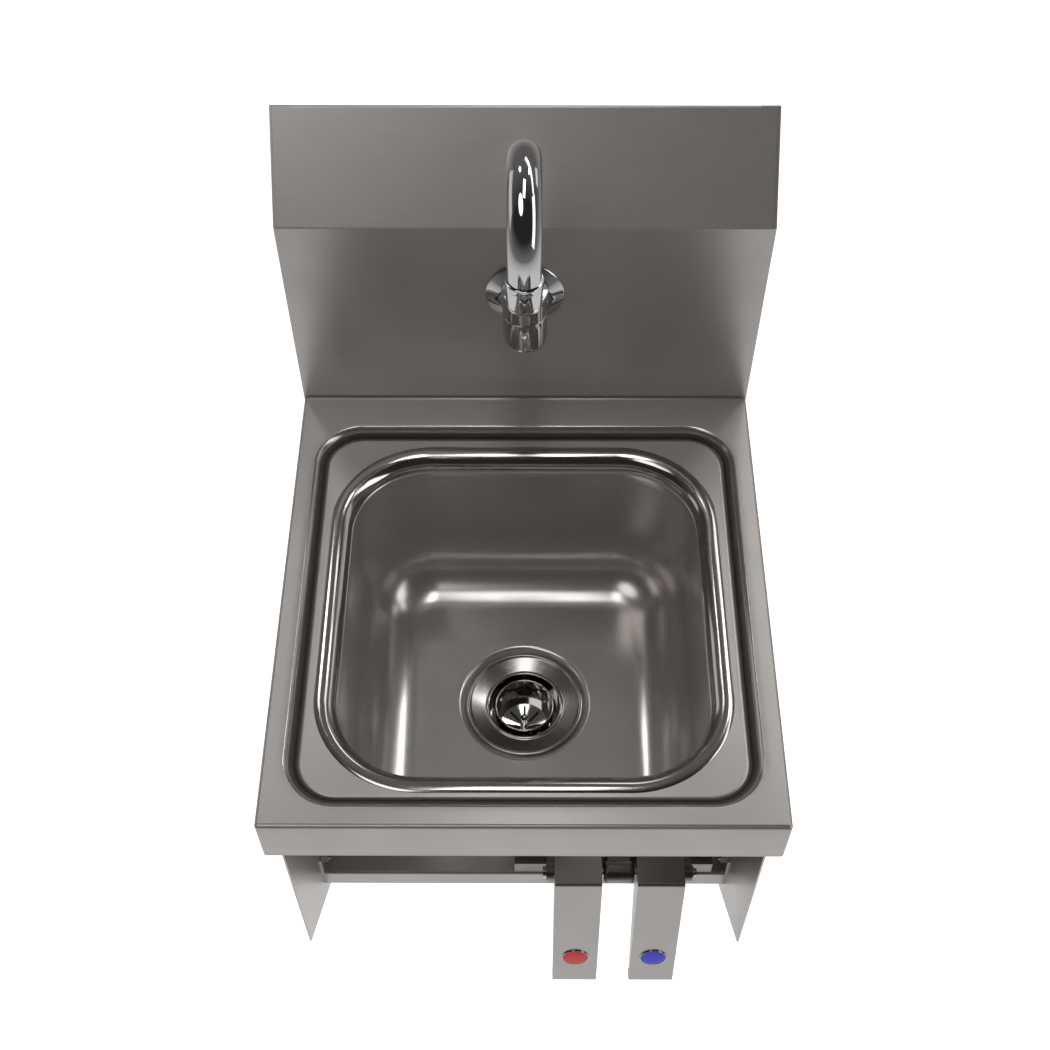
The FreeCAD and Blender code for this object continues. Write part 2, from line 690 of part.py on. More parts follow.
def make_crossbar_fasteners():
    """The bolts, with round heads outside the panels, and the nuts inside the end flanges."""
    bolts, nuts = [], []
    z = -bar_top + bar_bolt_rise
    inner = panel_face - sheet - bar_sheet
    nut_end = inner - bar_nut_thick
    for y in bar_bolt_ys:
        head = rod(V(panel_face, y, z), V(panel_face + bar_bolt_head, y, z), bar_bolt_head_r)
        bolt = head.fuse(rod(V(nut_end - bar_bolt_tail, y, z), V(panel_face, y, z), bar_bolt_r))
        nut = hexagon(V(nut_end, y, z), V(inner, y, z), bar_nut_flats)
        nut = nut.cut(rod(V(nut_end - 1, y, z), V(inner + 1, y, z), bar_bolt_r + thread_gap))
        bolts += [bolt, mirrored(bolt)]
        nuts += [nut, mirrored(nut)]
    return Part.makeCompound(bolts), Part.makeCompound(nuts)


# ---------------------------------------------------------------- drain
def make_drain_flange():
    """The strainer body: dished flange with a bright ring, threaded neck, cup ledge and outlet."""
    under = seat_z + rest_gap
    lip = seat_z + flange_lip + rest_gap
    hole = drain_hole_r - hole_gap
    dish = floor_z - dish_fall
    shoulder = -ledge_z - ledge_thick
    profile = [
        (flange_r, under), (flange_r, lip - flange_edge), (flange_r - flange_edge, lip),
        (flange_r - flange_rim, lip - flange_edge / 8),
        (flange_r - flange_rim - 0.75 * flange_edge, lip - flange_edge),
        (ring_r + 1.4 * ring_width, dish), (ring_r + 0.6 * ring_width, dish + 0.78 * ring_rise),
        (ring_r - 0.4 * ring_width, dish + ring_rise), (throat_r, dish + 0.22 * ring_rise),
        (throat_r, -ledge_z), (ledge_r, -ledge_z), (ledge_r, shoulder),
        (outlet_r, shoulder - (ledge_r - outlet_r)),
        (outlet_r, -drain_end), (outlet_thread_r, -drain_end),
        (outlet_thread_r, -neck_bottom - outlet_slope),
        (neck_r, -neck_bottom), (neck_r, seat_z - sheet + 2 * thread_gap), (hole, seat_z - sheet / 2),
        (hole, under),
    ]
    return turned(profile, drain)


def drain_stack():
    """Heights of the pieces under the bowl, from its underside down."""
    first = seat_z - sheet
    second = first - gasket_thick
    third = second - fibre_thick
    return first, second, third, third - locknut_thick


def make_drain_locknut(top, bottom):
    """A round nut with lugs."""
    nut = rod(along(drain, z=bottom), along(drain, z=top), locknut_r)
    reach = locknut_r + locknut_lug
    for k in range(locknut_lugs):
        lug = box(drain.x + locknut_r - locknut_lug_width / 2, drain.x + reach,
                  drain.y - locknut_lug_width / 2, drain.y + locknut_lug_width / 2,
                  bottom, top - locknut_lug_step)
        nut = nut.fuse(lug.rotated(drain, V(0, 0, 1), 360 / locknut_lugs * k))
    return nut.cut(rod(along(drain, z=bottom - 1), along(drain, z=top + 1), neck_r + thread_gap))


def tail_stack():
    """Heights at the tailpiece's joint: outlet's end, washer's underside, lip's underside, nut's end."""
    washer = -drain_end - tail_washer
    lip = washer - tail_lip
    return -drain_end, washer, lip, lip - rest_gap - tail_nut_floor


def make_tailpiece():
    """A 1.5 in tube with a lip that the slip nut holds."""
    _, washer, lip, nut_end = tail_stack()
    bore = tail_r - tail_wall
    free_top = nut_end - rest_gap
    tube = ring(along(drain, z=-tail_end), along(drain, z=free_top), tail_r, bore)
    neck = ring(along(drain, z=free_top), along(drain, z=washer), tail_r - tail_relief, bore)
    rim = ring(along(drain, z=lip), along(drain, z=washer), outlet_thread_r - tail_lip_gap, bore)
    return tube.fuse([neck, rim])


def make_tailpiece_nut():
    """The hexagonal slip nut."""
    top = -drain_end + tail_nut_cover
    _, _, lip, bottom = tail_stack()
    nut = hexagon(along(drain, z=bottom), along(drain, z=top), tail_nut_flats)
    bore = rod(along(drain, z=lip - rest_gap), along(drain, z=top + 1), outlet_thread_r + thread_gap)
    mouth = rod(along(drain, z=bottom - 1), along(drain, z=lip), tail_r + rest_gap)
    return nut.cut(bore).cut(mouth)


# ---------------------------------------------------------------- crumb cup
def make_crumb_cup():
    """A cup with slots in its wall and in its dished floor, and a bead round its rim."""
    low = -ledge_z + rest_gap
    inner = cup_r - cup_wall
    dish_r = ledge_r - 1.0
    profile = [
        (cup_r, -cup_top), (cup_r, low), (dish_r, low), (post_r + running_gap, low - cup_dish),
        (post_r + running_gap, low - cup_dish + cup_wall), (dish_r - 1.0, low + cup_wall),
        (inner, low + cup_wall), (inner, -cup_top),
    ]
    cup = turned(profile, drain)
    bead = Part.makeTorus(cup_r - cup_wall / 2, cup_bead_r, along(drain, z=-cup_top))
    cup = cup.fuse(bead)
    for row in range(slot_rows):
        z = -cup_top - 6.0 - row * slot_pitch_z
        for k in range(slots_per_row):
            slot = box(drain.x + inner - 1, drain.x + cup_r + 1, drain.y - slot_width / 2,
                       drain.y + slot_width / 2, z - slot_height, z)
            cup = cup.cut(slot.rotated(drain, V(0, 0, 1), 360 / slots_per_row * (k + row / 2)))
    for k in range(floor_slots):
        slot = box(drain.x + floor_slot_in, drain.x + floor_slot_out, drain.y - slot_width / 2,
                   drain.y + slot_width / 2, low - cup_dish - 1, low + cup_wall + 1)
        cup = cup.cut(slot.rotated(drain, V(0, 0, 1), 360 / floor_slots * k))
    return cup


def make_cup_post():
    """The post through the cup's floor, with a round knob on top and a head under the stopper."""
    floor = -ledge_z + rest_gap - cup_dish
    foot = floor - rest_gap - stopper_thick - rest_gap
    post = rod(along(drain, z=foot), along(drain, z=-knob_z), post_r)
    knob = Part.makeSphere(knob_r, along(drain, z=-knob_z))
    collar = rod(along(drain, z=floor + cup_wall + rest_gap), along(drain, z=floor + cup_wall + post_collar),
                 post_collar_r)
    head = rod(along(drain, z=foot - post_head), along(drain, z=foot), post_head_r)
    return post.fuse([knob, collar, head])


def make_cup_stopper():
    """The rubber disc under the cup."""
    top = -ledge_z - cup_dish
    disc = rod(along(drain, z=top - stopper_thick), along(drain, z=top), stopper_r)
    low = top - stopper_thick
    foot = edges_in(disc, -stopper_r, stopper_r, drain.y - stopper_r, drain.y + stopper_r, low, low)
    disc = disc.makeChamfer(stopper_chamfer, foot)
    hole = rod(along(drain, z=top - stopper_thick - 1), along(drain, z=top + 1), post_r + running_gap)
    return disc.cut(hole)


# ---------------------------------------------------------------- spout
def spout_axis(z):
    """A point on the spout's upright axis."""
    return V(0, spout_axis_y, z)


def make_escutcheon():
    """A shallow cone over the spout's hole."""
    points = [(shank_r + rest_gap, -rest_gap), (escutcheon_r, -rest_gap), (escutcheon_r, -1.6),
              (escutcheon_r - 1.0, -2.0), (shank_r + 5.0, -escutcheon_rise),
              (shank_r + rest_gap, -escutcheon_rise), (shank_r + rest_gap, -escutcheon_rise + 1.2),
              (shank_r + 4.4, -escutcheon_rise + 1.2), (escutcheon_r - 2.4, -rest_gap - 0.9),
              (shank_r + rest_gap, -rest_gap - 0.9)]
    corners = [V(r, y, spout_hole_z) for r, y in points]
    face = Part.Face(Part.makePolygon(corners + corners[:1]))
    return face.revolve(V(0, 0, spout_hole_z), V(0, 1, 0), 360)


def make_faucet_body():
    """Upright body with a rounded foot, a neck for the bonnet, a socket and the threaded shank."""
    body = rod(spout_axis(body_bottom), spout_axis(body_seam), body_r)
    foot = edges_in(body, -body_r, body_r, spout_axis_y - body_r, spout_axis_y + body_r,
                    body_bottom, body_bottom)
    body = body.makeFillet(body_fillet, foot)
    body = body.fuse(rod(spout_axis(body_seam), spout_axis(body_neck_top), body_neck_r))
    hub_end = -escutcheon_rise - rest_gap
    body = body.fuse(rod(V(0, spout_axis_y, spout_hole_z), V(0, hub_end, spout_hole_z), hub_r))
    body = body.fuse(rod(V(0, spout_axis_y, spout_hole_z), V(0, shank_end, spout_hole_z), shank_r))
    body = body.cut(rod(spout_axis(socket_floor_z), spout_axis(body_neck_top + 1), socket_r))
    return body.cut(rod(V(0, spout_axis_y, spout_hole_z), V(0, shank_end + 1, spout_hole_z), shank_bore_r))


def make_bonnet():
    """The cap screwed on the body's neck, with a ring round its top."""
    cap = rod(spout_axis(body_seam), spout_axis(bonnet_top), body_r)
    band = rod(spout_axis(bonnet_top - bonnet_ring_height), spout_axis(bonnet_top), body_r + bonnet_ring)
    reach = body_r + bonnet_ring
    rim = edges_in(band, -reach, reach, spout_axis_y - reach, spout_axis_y + reach, bonnet_top, bonnet_top)
    band = band.makeFillet(bonnet_ring, rim)
    cap = cap.fuse(band)
    cap = cap.cut(rod(spout_axis(body_seam - 1), spout_axis(body_neck_top + rest_gap),
                      body_neck_r + thread_gap))
    return cap.cut(rod(spout_axis(body_seam), spout_axis(bonnet_top + 1), spout_r + running_gap))


def spout_tip(z):
    """A point on the axis of the spout's front leg."""
    return V(0, spout_axis_y - 2 * arch_r, z)


def swept(edges, start, direction, outer, inner):
    """A round tube along a wire."""
    path = Part.Wire(edges)
    shells = []
    for radius in (outer, inner):
        circle = Part.Wire([Part.makeCircle(radius, start, direction)])
        shells.append(path.makePipeShell([circle], True, False))
    return shells[0].cut(shells[1])


def make_gooseneck():
    """The bent tube: up, over a half circle and down into the aerator."""
    foot, left = spout_axis(spout_foot_z), spout_axis(arch_z)
    top = V(0, spout_axis_y - arch_r, arch_z + arch_r)
    right, end = spout_tip(arch_z), spout_tip(ring_bottom - tube_in_aerator)
    edges = [Part.LineSegment(foot, left).toShape(), Part.Arc(left, top, right).toShape(),
             Part.LineSegment(right, end).toShape()]
    return swept(edges, foot, V(0, 0, 1), spout_r, spout_r - spout_wall)


def make_spout_sleeve():
    """The sleeve on the tube's foot, with a groove for each o-ring."""
    sleeve = ring(spout_axis(spout_foot_z), spout_axis(body_neck_top - rest_gap), sleeve_r,
                  spout_r + running_gap)
    for z in seal_zs:
        low, high = z - seal_section_r - 0.1, z + seal_section_r + 0.1
        groove = ring(spout_axis(low), spout_axis(high), sleeve_r + 1, socket_r - 2 * seal_section_r + 0.35)
        sleeve = sleeve.cut(groove)
    return sleeve


def make_spout_seals():
    """Two o-rings that close the gap between sleeve and socket."""
    section = (seal_section_r * 2 - 0.45) / 2
    middle = socket_r - running_gap - section
    return Part.makeCompound([Part.makeTorus(middle, section, spout_axis(z)) for z in seal_zs])


def make_aerator_shell():
    """A slightly tapered shell on the spout's end."""
    top, low = ring_bottom, aerator_bottom
    shell = Part.makeCone(aerator_r - aerator_taper, aerator_r, top - low, spout_tip(low))
    bore = spout_r + thread_gap
    seat = top - tube_in_aerator - aerator_washer_thick
    shell = shell.cut(rod(spout_tip(seat), spout_tip(top + 1), bore))
    inner = aerator_r - aerator_taper - aerator_wall
    shell = shell.cut(rod(spout_tip(low - 1), spout_tip(seat), inner))
    return shell


def make_aerator_insert():
    """The perforated disc and barrel that break up the stream."""
    seat = ring_bottom - tube_in_aerator - aerator_washer_thick
    radius = aerator_r - aerator_taper - aerator_wall - running_gap
    low = aerator_bottom + 1.2
    body = rod(spout_tip(low), spout_tip(seat), radius)
    body = body.cut(rod(spout_tip(low + 1.5), spout_tip(seat + 1), radius - 1.5))
    for reach, count in insert_rings:
        for k in range(count):
            turn = 2 * math.pi * k / count
            at = along(spout_tip(low), x=reach * math.cos(turn), y=reach * math.sin(turn))
            body = body.cut(rod(along(at, z=-1), along(at, z=3), insert_hole_r))
    return body


def make_shank_elbow():
    """The elbow behind the splash that joins the shank to the supply tube."""
    corner = V(0, elbow_y, spout_hole_z)
    start = V(0, elbow_start, spout_hole_z)
    foot = along(corner, z=-elbow_drop)
    body = rod(start, corner, elbow_r)
    body = body.fuse([Part.makeSphere(elbow_r, corner), rod(foot, corner, elbow_leg_r)])
    body = body.cut(rod(along(start, y=-1), V(0, shank_end + rest_gap, spout_hole_z), shank_r + thread_gap))
    body = body.cut(rod(start, corner, shank_bore_r))
    body = body.cut(rod(along(foot, z=supply_reach), corner, supply_r - supply_wall))
    body = body.cut(rod(along(foot, z=-1), along(foot, z=supply_reach + rest_gap), supply_r + running_gap))
    return body


# ---------------------------------------------------------------- knee valve
def make_valve_body():
    """One casting: manifold, inlet blocks, hinge barrel with its neck, two ears, and the outlet boss."""
    axis = V(valve_x, manifold_y, plunger_z)
    foot = -bar_top
    body = rod(along(axis, x=hot_block[1] - 1), along(axis, x=cold_block[0] + 1), manifold_r)
    for x0, x1 in (hot_block, cold_block):
        body = body.fuse(box(valve_x + x0, valve_x + x1, block_front_y, block_step_y + 1, foot,
                             foot + block_pad))
        body = body.fuse(box(valve_x + x0, valve_x + x1, block_step_y, block_rear_y, foot,
                             foot + block_height))
    hinge = V(valve_x, hinge_y, hinge_z)
    barrel = rod(along(hinge, x=-barrel_length / 2), along(hinge, x=barrel_length / 2), barrel_r)
    barrel = barrel.makeFillet(barrel_fillet, [e for e in barrel.Edges if e.BoundBox.XLength < 0.01])
    neck_x = barrel_length / 2 - barrel_fillet
    neck = strut(0.75 * barrel_r, 0.75 * manifold_r)
    body = body.fuse([barrel, plate_yz(neck, valve_x - neck_x, 2 * neck_x)])
    reach = pedal_pitch / 2 + pedal_width / 2 + ear_gap
    for x in (valve_x - reach - ear_width, valve_x + reach):
        lug = rod(V(x, hinge_y, hinge_z), V(x + ear_width, hinge_y, hinge_z), ear_r)
        body = body.fuse([lug, plate_yz(strut(0.9 * ear_r, 0.75 * manifold_r), x, ear_width)])
    body = body.fuse(rod(axis, V(valve_x, outlet_boss_y, plunger_z), outlet_boss_r))
    return valve_bores(body)


def strut(hinge_half, manifold_half):
    """The (y, z) outline of an arm from the hinge to the manifold, with its half heights at both ends."""
    run, fall = manifold_y - hinge_y, plunger_z - hinge_z
    length = math.hypot(run, fall)
    ny, nz = -fall / length, run / length
    return [(hinge_y + ny * hinge_half, hinge_z + nz * hinge_half),
            (manifold_y + ny * manifold_half, plunger_z + nz * manifold_half),
            (manifold_y - ny * manifold_half, plunger_z - nz * manifold_half),
            (hinge_y - ny * hinge_half, hinge_z - nz * hinge_half)]


def valve_bores(body):
    """The water ways, the cartridge bores, the pin's hole and the screws' holes of the casting."""
    axis = V(valve_x, manifold_y, plunger_z)
    way_r = 5.0
    body = body.cut(rod(along(axis, x=inlet_x_hot), along(axis, x=inlet_x_cold), way_r))
    body = body.cut(rod(axis, V(valve_x, outlet_boss_y + 1, plunger_z), supply_r - supply_wall))
    socket = V(valve_x, outlet_boss_y - supply_reach - rest_gap, plunger_z)
    body = body.cut(rod(socket, V(valve_x, outlet_boss_y + 1, plunger_z), supply_r + running_gap))
    for x in pedal_xs.values():
        body = body.cut(rod(V(x, -bar_front, plunger_z), V(x, manifold_y + bore_past_axis, plunger_z),
                            bore_r))
    for offset in (inlet_x_hot, inlet_x_cold):
        x = valve_x + offset
        foot = V(x, manifold_y, -bar_top)
        body = body.cut(rod(along(foot, z=-1), along(foot, z=inlet_root + rest_gap), bore_r))
        body = body.cut(rod(foot, V(x, manifold_y, plunger_z), inlet_root_bore_r))
    reach = pedal_pitch
    return body.cut(rod(V(valve_x - reach, hinge_y, hinge_z), V(valve_x + reach, hinge_y, hinge_z),
                        pin_r + running_gap))


def make_cartridge(x):
    """The bush screwed into the manifold's front, which guides the plunger."""
    nose = rod(V(x, cartridge_front_y, plunger_z), V(x, manifold_y - manifold_r - 1, plunger_z), collar_r)
    rim = edges_in(nose, x - collar_r, x + collar_r, cartridge_front_y, cartridge_front_y,
                   plunger_z - collar_r, plunger_z + collar_r)
    nose = nose.makeFillet(collar_round, rim)
    shank = rod(V(x, cartridge_front_y + 2, plunger_z), V(x, cartridge_rear_y, plunger_z),
                bore_r - thread_gap)
    body = nose.fuse(shank)
    return body.cut(rod(V(x, cartridge_front_y - 1, plunger_z), V(x, cartridge_rear_y + 1, plunger_z),
                        stem_r + running_gap))


def make_plunger(x):
    """Button, stem and inner head. The pedal pushes the button towards the wall."""
    head_front = cartridge_rear_y + rest_gap + seat_thick
    button = rod(V(x, button_tip_y, plunger_z), V(x, button_tip_y + button_thick, plunger_z), button_r)
    rim = edges_in(button, x - button_r, x + button_r, button_tip_y, button_tip_y,
                   plunger_z - button_r, plunger_z + button_r)
    button = button.makeFillet(button_round, rim)
    stem = rod(V(x, button_tip_y + 1, plunger_z), V(x, head_front + 0.1, plunger_z), stem_r)
    head = rod(V(x, head_front, plunger_z), V(x, head_front + plunger_stop, plunger_z), plunger_head_r)
    return button.fuse([stem, head])


def make_seat_washer(x):
    """The rubber washer between the plunger's head and the cartridge."""
    start = cartridge_rear_y + rest_gap
    return ring(V(x, start, plunger_z), V(x, start + seat_thick - 0.05, plunger_z), plunger_head_r,
                stem_r + running_gap)


def arc_from(start, tangent, end):
    """The arc that leaves start along tangent and reaches end."""
    chord = end - start
    across = chord - tangent * chord.dot(tangent)
    radius = chord.Length ** 2 / (2 * across.Length)
    centre = start + across * (radius / across.Length)
    middle = centre + ((start + end) * 0.5 - centre).normalize() * radius
    return Part.Arc(start, middle, end).toShape()


def make_spring(x):
    """The coil between button and cartridge: quarter turns, each two arcs that meet smoothly."""
    start = button_tip_y + button_thick + rest_gap + spring_wire_r
    end = cartridge_front_y - rest_gap - spring_wire_r
    pitch = (end - start) / spring_turns
    rise = pitch / (2 * math.pi)
    quarters = 4 * spring_turns

    def place(turn):
        return V(x + spring_r * math.cos(turn), start + rise * turn, plunger_z + spring_r * math.sin(turn))

    def tangent(turn):
        return V(-spring_r * math.sin(turn), rise, spring_r * math.cos(turn)).normalize()

    edges = []
    for k in range(quarters):
        t0, t1 = k * math.pi / 2, (k + 1) * math.pi / 2
        p0, p1, u0, u1 = place(t0), place(t1), tangent(t0), tangent(t1)
        joint = biarc_joint(p0, u0, p1, u1)
        edges.append(arc_from(p0, u0, joint))
        edges.append(arc_from(p1, u1 * -1, joint))
    print(f"spring: least gap between turns {pitch - 2 * spring_wire_r:.2f}")
    path = Part.Wire(edges)
    section = Part.Wire([Part.makeCircle(spring_wire_r, place(0), tangent(0))])
    return path.makePipeShell([section], True, False)


def biarc_joint(p0, u0, p1, u1):
    """Where the two arcs of a biarc meet, with equal reaches along both end tangents."""
    chord = p1 - p0
    a = 2 * (1 - u0.dot(u1))
    b = 2 * chord.dot(u0 + u1)
    reach = (math.sqrt(b * b + 4 * a * chord.dot(chord)) - b) / (2 * a)
    return ((p0 + u0 * reach) + (p1 - u1 * reach)) * 0.5


def make_pedal(x):
    """Arm, tilted face and turned-back foot of one sheet, with tapering side flanges for the pin."""
    foot_y, foot_z = pedal_face_y - pedal_run, pedal_top_z - pedal_fall
    path = [(foot_y + pedal_hem, foot_z - 2.0), (foot_y, foot_z - 2.0), (pedal_face_y, pedal_top_z),
            (pedal_arm_rear_y, pedal_top_z)]
    path[1] = (foot_y - 2.0 * face_slope, foot_z - 2.0)
    left = x - pedal_width / 2
    strap = folded(path[::-1], pedal_sheet, pedal_bend_r, lambda y, z: V(left, y, z),
                   V(pedal_width, 0, 0))
    inner = pedal_sheet * face_length / pedal_fall
    top_in = pedal_top_z - pedal_sheet
    front_top = pedal_face_y + inner - (pedal_top_z - top_in) * face_slope
    outline = [(front_top - inner / 2, top_in + pedal_sheet / 2),
               (pedal_arm_rear_y, top_in + pedal_sheet / 2),
               (pedal_flange_rear_y, pedal_flange_knee_z),
               (foot_y + inner + pedal_flange_foot, foot_z + 4.0), (foot_y + inner / 2, foot_z + 4.0)]
    body = strap
    for x0 in (left, left + pedal_width - pedal_sheet):
        body = body.fuse(plate_yz(outline, x0, pedal_sheet))
    hole = rod(V(left - 1, hinge_y, hinge_z), V(left + pedal_width + 1, hinge_y, hinge_z),
               pin_r + running_gap)
    return body.cut(hole)


def make_index(x):
    """The domed disc near the pedal's foot, square to the face."""
    up = V(0, pedal_run / face_length, pedal_fall / face_length)
    out = V(0, -pedal_fall / face_length, pedal_run / face_length)
    foot = V(x, pedal_face_y - pedal_run, pedal_top_z - pedal_fall)
    middle = foot + up * index_up
    disc = rod(middle, middle + out * index_thick, index_r)
    rim = [e for e in disc.Edges if abs((e.CenterOfMass - middle).dot(out) - index_thick) < 0.01]
    return disc.makeFillet(index_thick * 0.6, rim)


def make_hinge_pin():
    """The pin through ears, pedals and barrel, with a head at one end and a groove at the other."""
    reach = ear_reach
    start = V(valve_x - reach, hinge_y, hinge_z)
    end = V(valve_x + reach + clip_thick + pin_tail, hinge_y, hinge_z)
    pin = rod(start, end, pin_r).fuse(rod(along(start, x=-pin_head), start, pin_head_r))
    groove = V(valve_x + reach + 0.1, hinge_y, hinge_z)
    return pin.cut(ring(groove, along(groove, x=clip_thick + 0.1), pin_r + 1, pin_r - 0.6))


def make_pin_clip():
    """The clip in the pin's groove."""
    at = V(valve_x + ear_reach + 0.15, hinge_y, hinge_z)
    clip = ring(at, along(at, x=clip_thick), clip_r, pin_r - 0.55)
    mouth = box(at.x - clip_thick, at.x + 2 * clip_thick, hinge_y - clip_mouth / 2,
                hinge_y + clip_mouth / 2, hinge_z - 2 * clip_r, hinge_z)
    return clip.cut(mouth)


def make_inlet(offset):
    """A nipple screwed into its block from below, which goes down through the bar to the hose."""
    foot = V(valve_x + offset, manifold_y, -bar_top)
    nut_end = along(foot, z=-bar_sheet - inlet_nut_thick - rest_gap)
    end = along(nut_end, z=-inlet_length)
    body = rod(along(foot, z=inlet_root), foot, bore_r - thread_gap)
    body = body.fuse([rod(foot, nut_end, inlet_neck_r), rod(nut_end, end, inlet_r)])
    body = body.cut(rod(foot, along(foot, z=inlet_root + 1), inlet_root_bore_r))
    return body.cut(rod(foot, along(end, z=-1), inlet_bore_r))


def make_valve_locknuts():
    """The nuts on the nipples, which hold the valve to the bar."""
    nuts = []
    for offset in (inlet_x_hot, inlet_x_cold):
        top = V(valve_x + offset, manifold_y, -bar_top - bar_sheet)
        end = along(top, z=-inlet_nut_thick)
        hole = rod(along(top, z=1), along(end, z=-1), inlet_neck_r + thread_gap)
        nuts.append(hexagon(top, end, inlet_nut_flats).cut(hole))
    return Part.makeCompound(nuts)


# ---------------------------------------------------------------- supply tube
def make_supply_tube():
    """The tube from the valve's outlet back under the bowl, up behind the splash and into the elbow."""
    points = [V(valve_x, outlet_boss_y - supply_reach, plunger_z), V(valve_x, elbow_y, plunger_z),
              V(valve_x, elbow_y, riser_z), V(0, elbow_y, slant_top_z),
              V(0, elbow_y, spout_hole_z - elbow_drop + supply_reach)]
    edges, here = [], points[0]
    for before, corner, after in zip(points, points[1:], points[2:]):
        u, w = (before - corner).normalize(), (after - corner).normalize()
        half = math.acos(max(-1.0, min(1.0, u.dot(w)))) / 2
        back = supply_bend_r / math.tan(half)
        reach = supply_bend_r / math.sin(half) - supply_bend_r
        start, end = corner + u * back, corner + w * back
        middle = corner + (u + w).normalize() * reach
        edges.append(Part.LineSegment(here, start).toShape())
        edges.append(Part.Arc(start, middle, end).toShape())
        here = end
    edges.append(Part.LineSegment(here, points[-1]).toShape())
    length = sum(e.Length for e in edges)
    print(f"supply tube: {length:.1f} long, bends of radius {supply_bend_r}")
    return swept(edges, points[0], V(0, 1, 0), supply_r, supply_r - supply_wall)


def supply_joints():
    """Start and end of the two compression nuts: at the valve's boss and under the elbow's leg."""
    boss = V(valve_x, outlet_boss_y, plunger_z)
    leg = V(0, elbow_y, spout_hole_z - elbow_drop)
    return ((boss, V(0, 1, 0)), (leg, V(0, 0, -1)))


def make_supply_nuts():
    """A compression nut at each end, hollow round its ferrule."""
    nuts = []
    for at, way in supply_joints():
        end = at + way * supply_nut_length
        nut = hexagon(at, end, supply_nut_flats)
        nut = nut.cut(rod(at - way, end + way, supply_r + running_gap))
        nut = nut.cut(rod(at - way, at + way * (ferrule_length + rest_gap), ferrule_r + thread_gap))
        nuts.append(nut)
    return Part.makeCompound(nuts)


def make_supply_ferrules():
    """The ferrules inside the nuts."""
    return Part.makeCompound([ring(at, at + way * ferrule_length, ferrule_r, supply_r + running_gap)
                              for at, way in supply_joints()])


# ---------------------------------------------------------------- all pieces
def main():
    """Makes and writes every piece."""
    os.makedirs("parts", exist_ok=True)
    save("deck", make_deck())
    save("bowl", make_bowl())
    save("backsplash", make_backsplash())
    end_cap, panel = make_splash_end(), make_side_panel()
    save("splash_end_right", end_cap)
    save("splash_end_left", mirrored(end_cap))
    save("wall_bracket", make_wall_bracket())
    save("side_panel_right", panel)
    save("side_panel_left", mirrored(panel))
    save("crossbar", make_crossbar())
    bolts, nuts = make_crossbar_fasteners()
    save("crossbar_bolts", bolts)
    save("crossbar_nuts", nuts)

    save("drain_flange", make_drain_flange())
    under_bowl, under_gasket, under_fibre, under_nut = drain_stack()
    clear = neck_r + rest_gap
    save("drain_gasket", ring(along(drain, z=under_gasket), along(drain, z=under_bowl), gasket_r, clear))
    save("drain_fibre_ring", ring(along(drain, z=under_fibre), along(drain, z=under_gasket), fibre_r, clear))
    save("drain_locknut", make_drain_locknut(under_fibre, under_nut))
    save("tailpiece", make_tailpiece())
    outlet_end, washer_low, _, _ = tail_stack()
    save("tailpiece_washer", ring(along(drain, z=washer_low), along(drain, z=outlet_end),
                                  outlet_thread_r - 0.5, outlet_r + 0.3))
    save("tailpiece_nut", make_tailpiece_nut())
    save("crumb_cup", make_crumb_cup())
    save("cup_post", make_cup_post())
    save("cup_stopper", make_cup_stopper())

    save("escutcheon", make_escutcheon())
    save("faucet_body", make_faucet_body())
    save("bonnet", make_bonnet())
    washer_end = sheet + shank_washer_thick
    nut_end = washer_end + shank_nut_thick
    shank_line = V(0, 0, spout_hole_z)
    save("shank_washer", ring(along(shank_line, y=sheet), along(shank_line, y=washer_end),
                              shank_washer_r, shank_r + rest_gap))
    shank_nut = hexagon(along(shank_line, y=washer_end), along(shank_line, y=nut_end), locknut_flats)
    save("shank_locknut", shank_nut.cut(rod(shank_line, along(shank_line, y=nut_end + 1),
                                            shank_r + thread_gap)))
    save("shank_elbow", make_shank_elbow())
    save("gooseneck", make_gooseneck())
    save("spout_sleeve", make_spout_sleeve())
    save("spout_seals", make_spout_seals())
    collar = ring(spout_tip(ring_bottom), spout_tip(ring_top), aerator_ring_r, spout_r + thread_gap)
    reach, tip_y = aerator_ring_r, spout_tip(0).y
    rims = edges_in(collar, -reach, reach, tip_y - reach, tip_y + reach, ring_top, ring_top)
    outer = 2 * math.pi * (aerator_ring_r - thread_gap)
    collar = collar.makeFillet(aerator_ring_round, [e for e in rims if e.Length > outer])
    save("aerator_ring", collar)
    save("aerator_shell", make_aerator_shell())
    tube_end = ring_bottom - tube_in_aerator
    save("aerator_washer", ring(spout_tip(tube_end - aerator_washer_thick), spout_tip(tube_end),
                                spout_r - 0.1, spout_r - 3.0))
    save("aerator_insert", make_aerator_insert())

    save("valve_body", make_valve_body())
    save("valve_locknuts", make_valve_locknuts())
    for name, x in pedal_xs.items():
        save(name + "_cartridge", make_cartridge(x))
        save(name + "_plunger", make_plunger(x))
        save(name + "_seat_washer", make_seat_washer(x))
        save(name + "_spring", make_spring(x))
        save(name + "_pedal", make_pedal(x))
        save(name + "_index", make_index(x))
    save("hinge_pin", make_hinge_pin())
    save("pin_clip", make_pin_clip())
    save("hot_inlet", make_inlet(inlet_x_hot))
    save("cold_inlet", make_inlet(inlet_x_cold))
    save("supply_tube", make_supply_tube())
    save("supply_nuts", make_supply_nuts())
    save("supply_ferrules", make_supply_ferrules())
    hinge_row = V(valve_x, hinge_y, hinge_z) - ORIGIN
    print(f"hinge {hinge_row.x:.2f} {hinge_row.y:.2f} {hinge_row.z:.2f}")
    print(f"spout axis y {spout_axis_y - ORIGIN.y:.2f}  drain y {drain.y - ORIGIN.y:.2f}"
          f"  deck z {-ORIGIN.z:.2f}  button tip y {button_tip_y - ORIGIN.y:.2f}")


main()
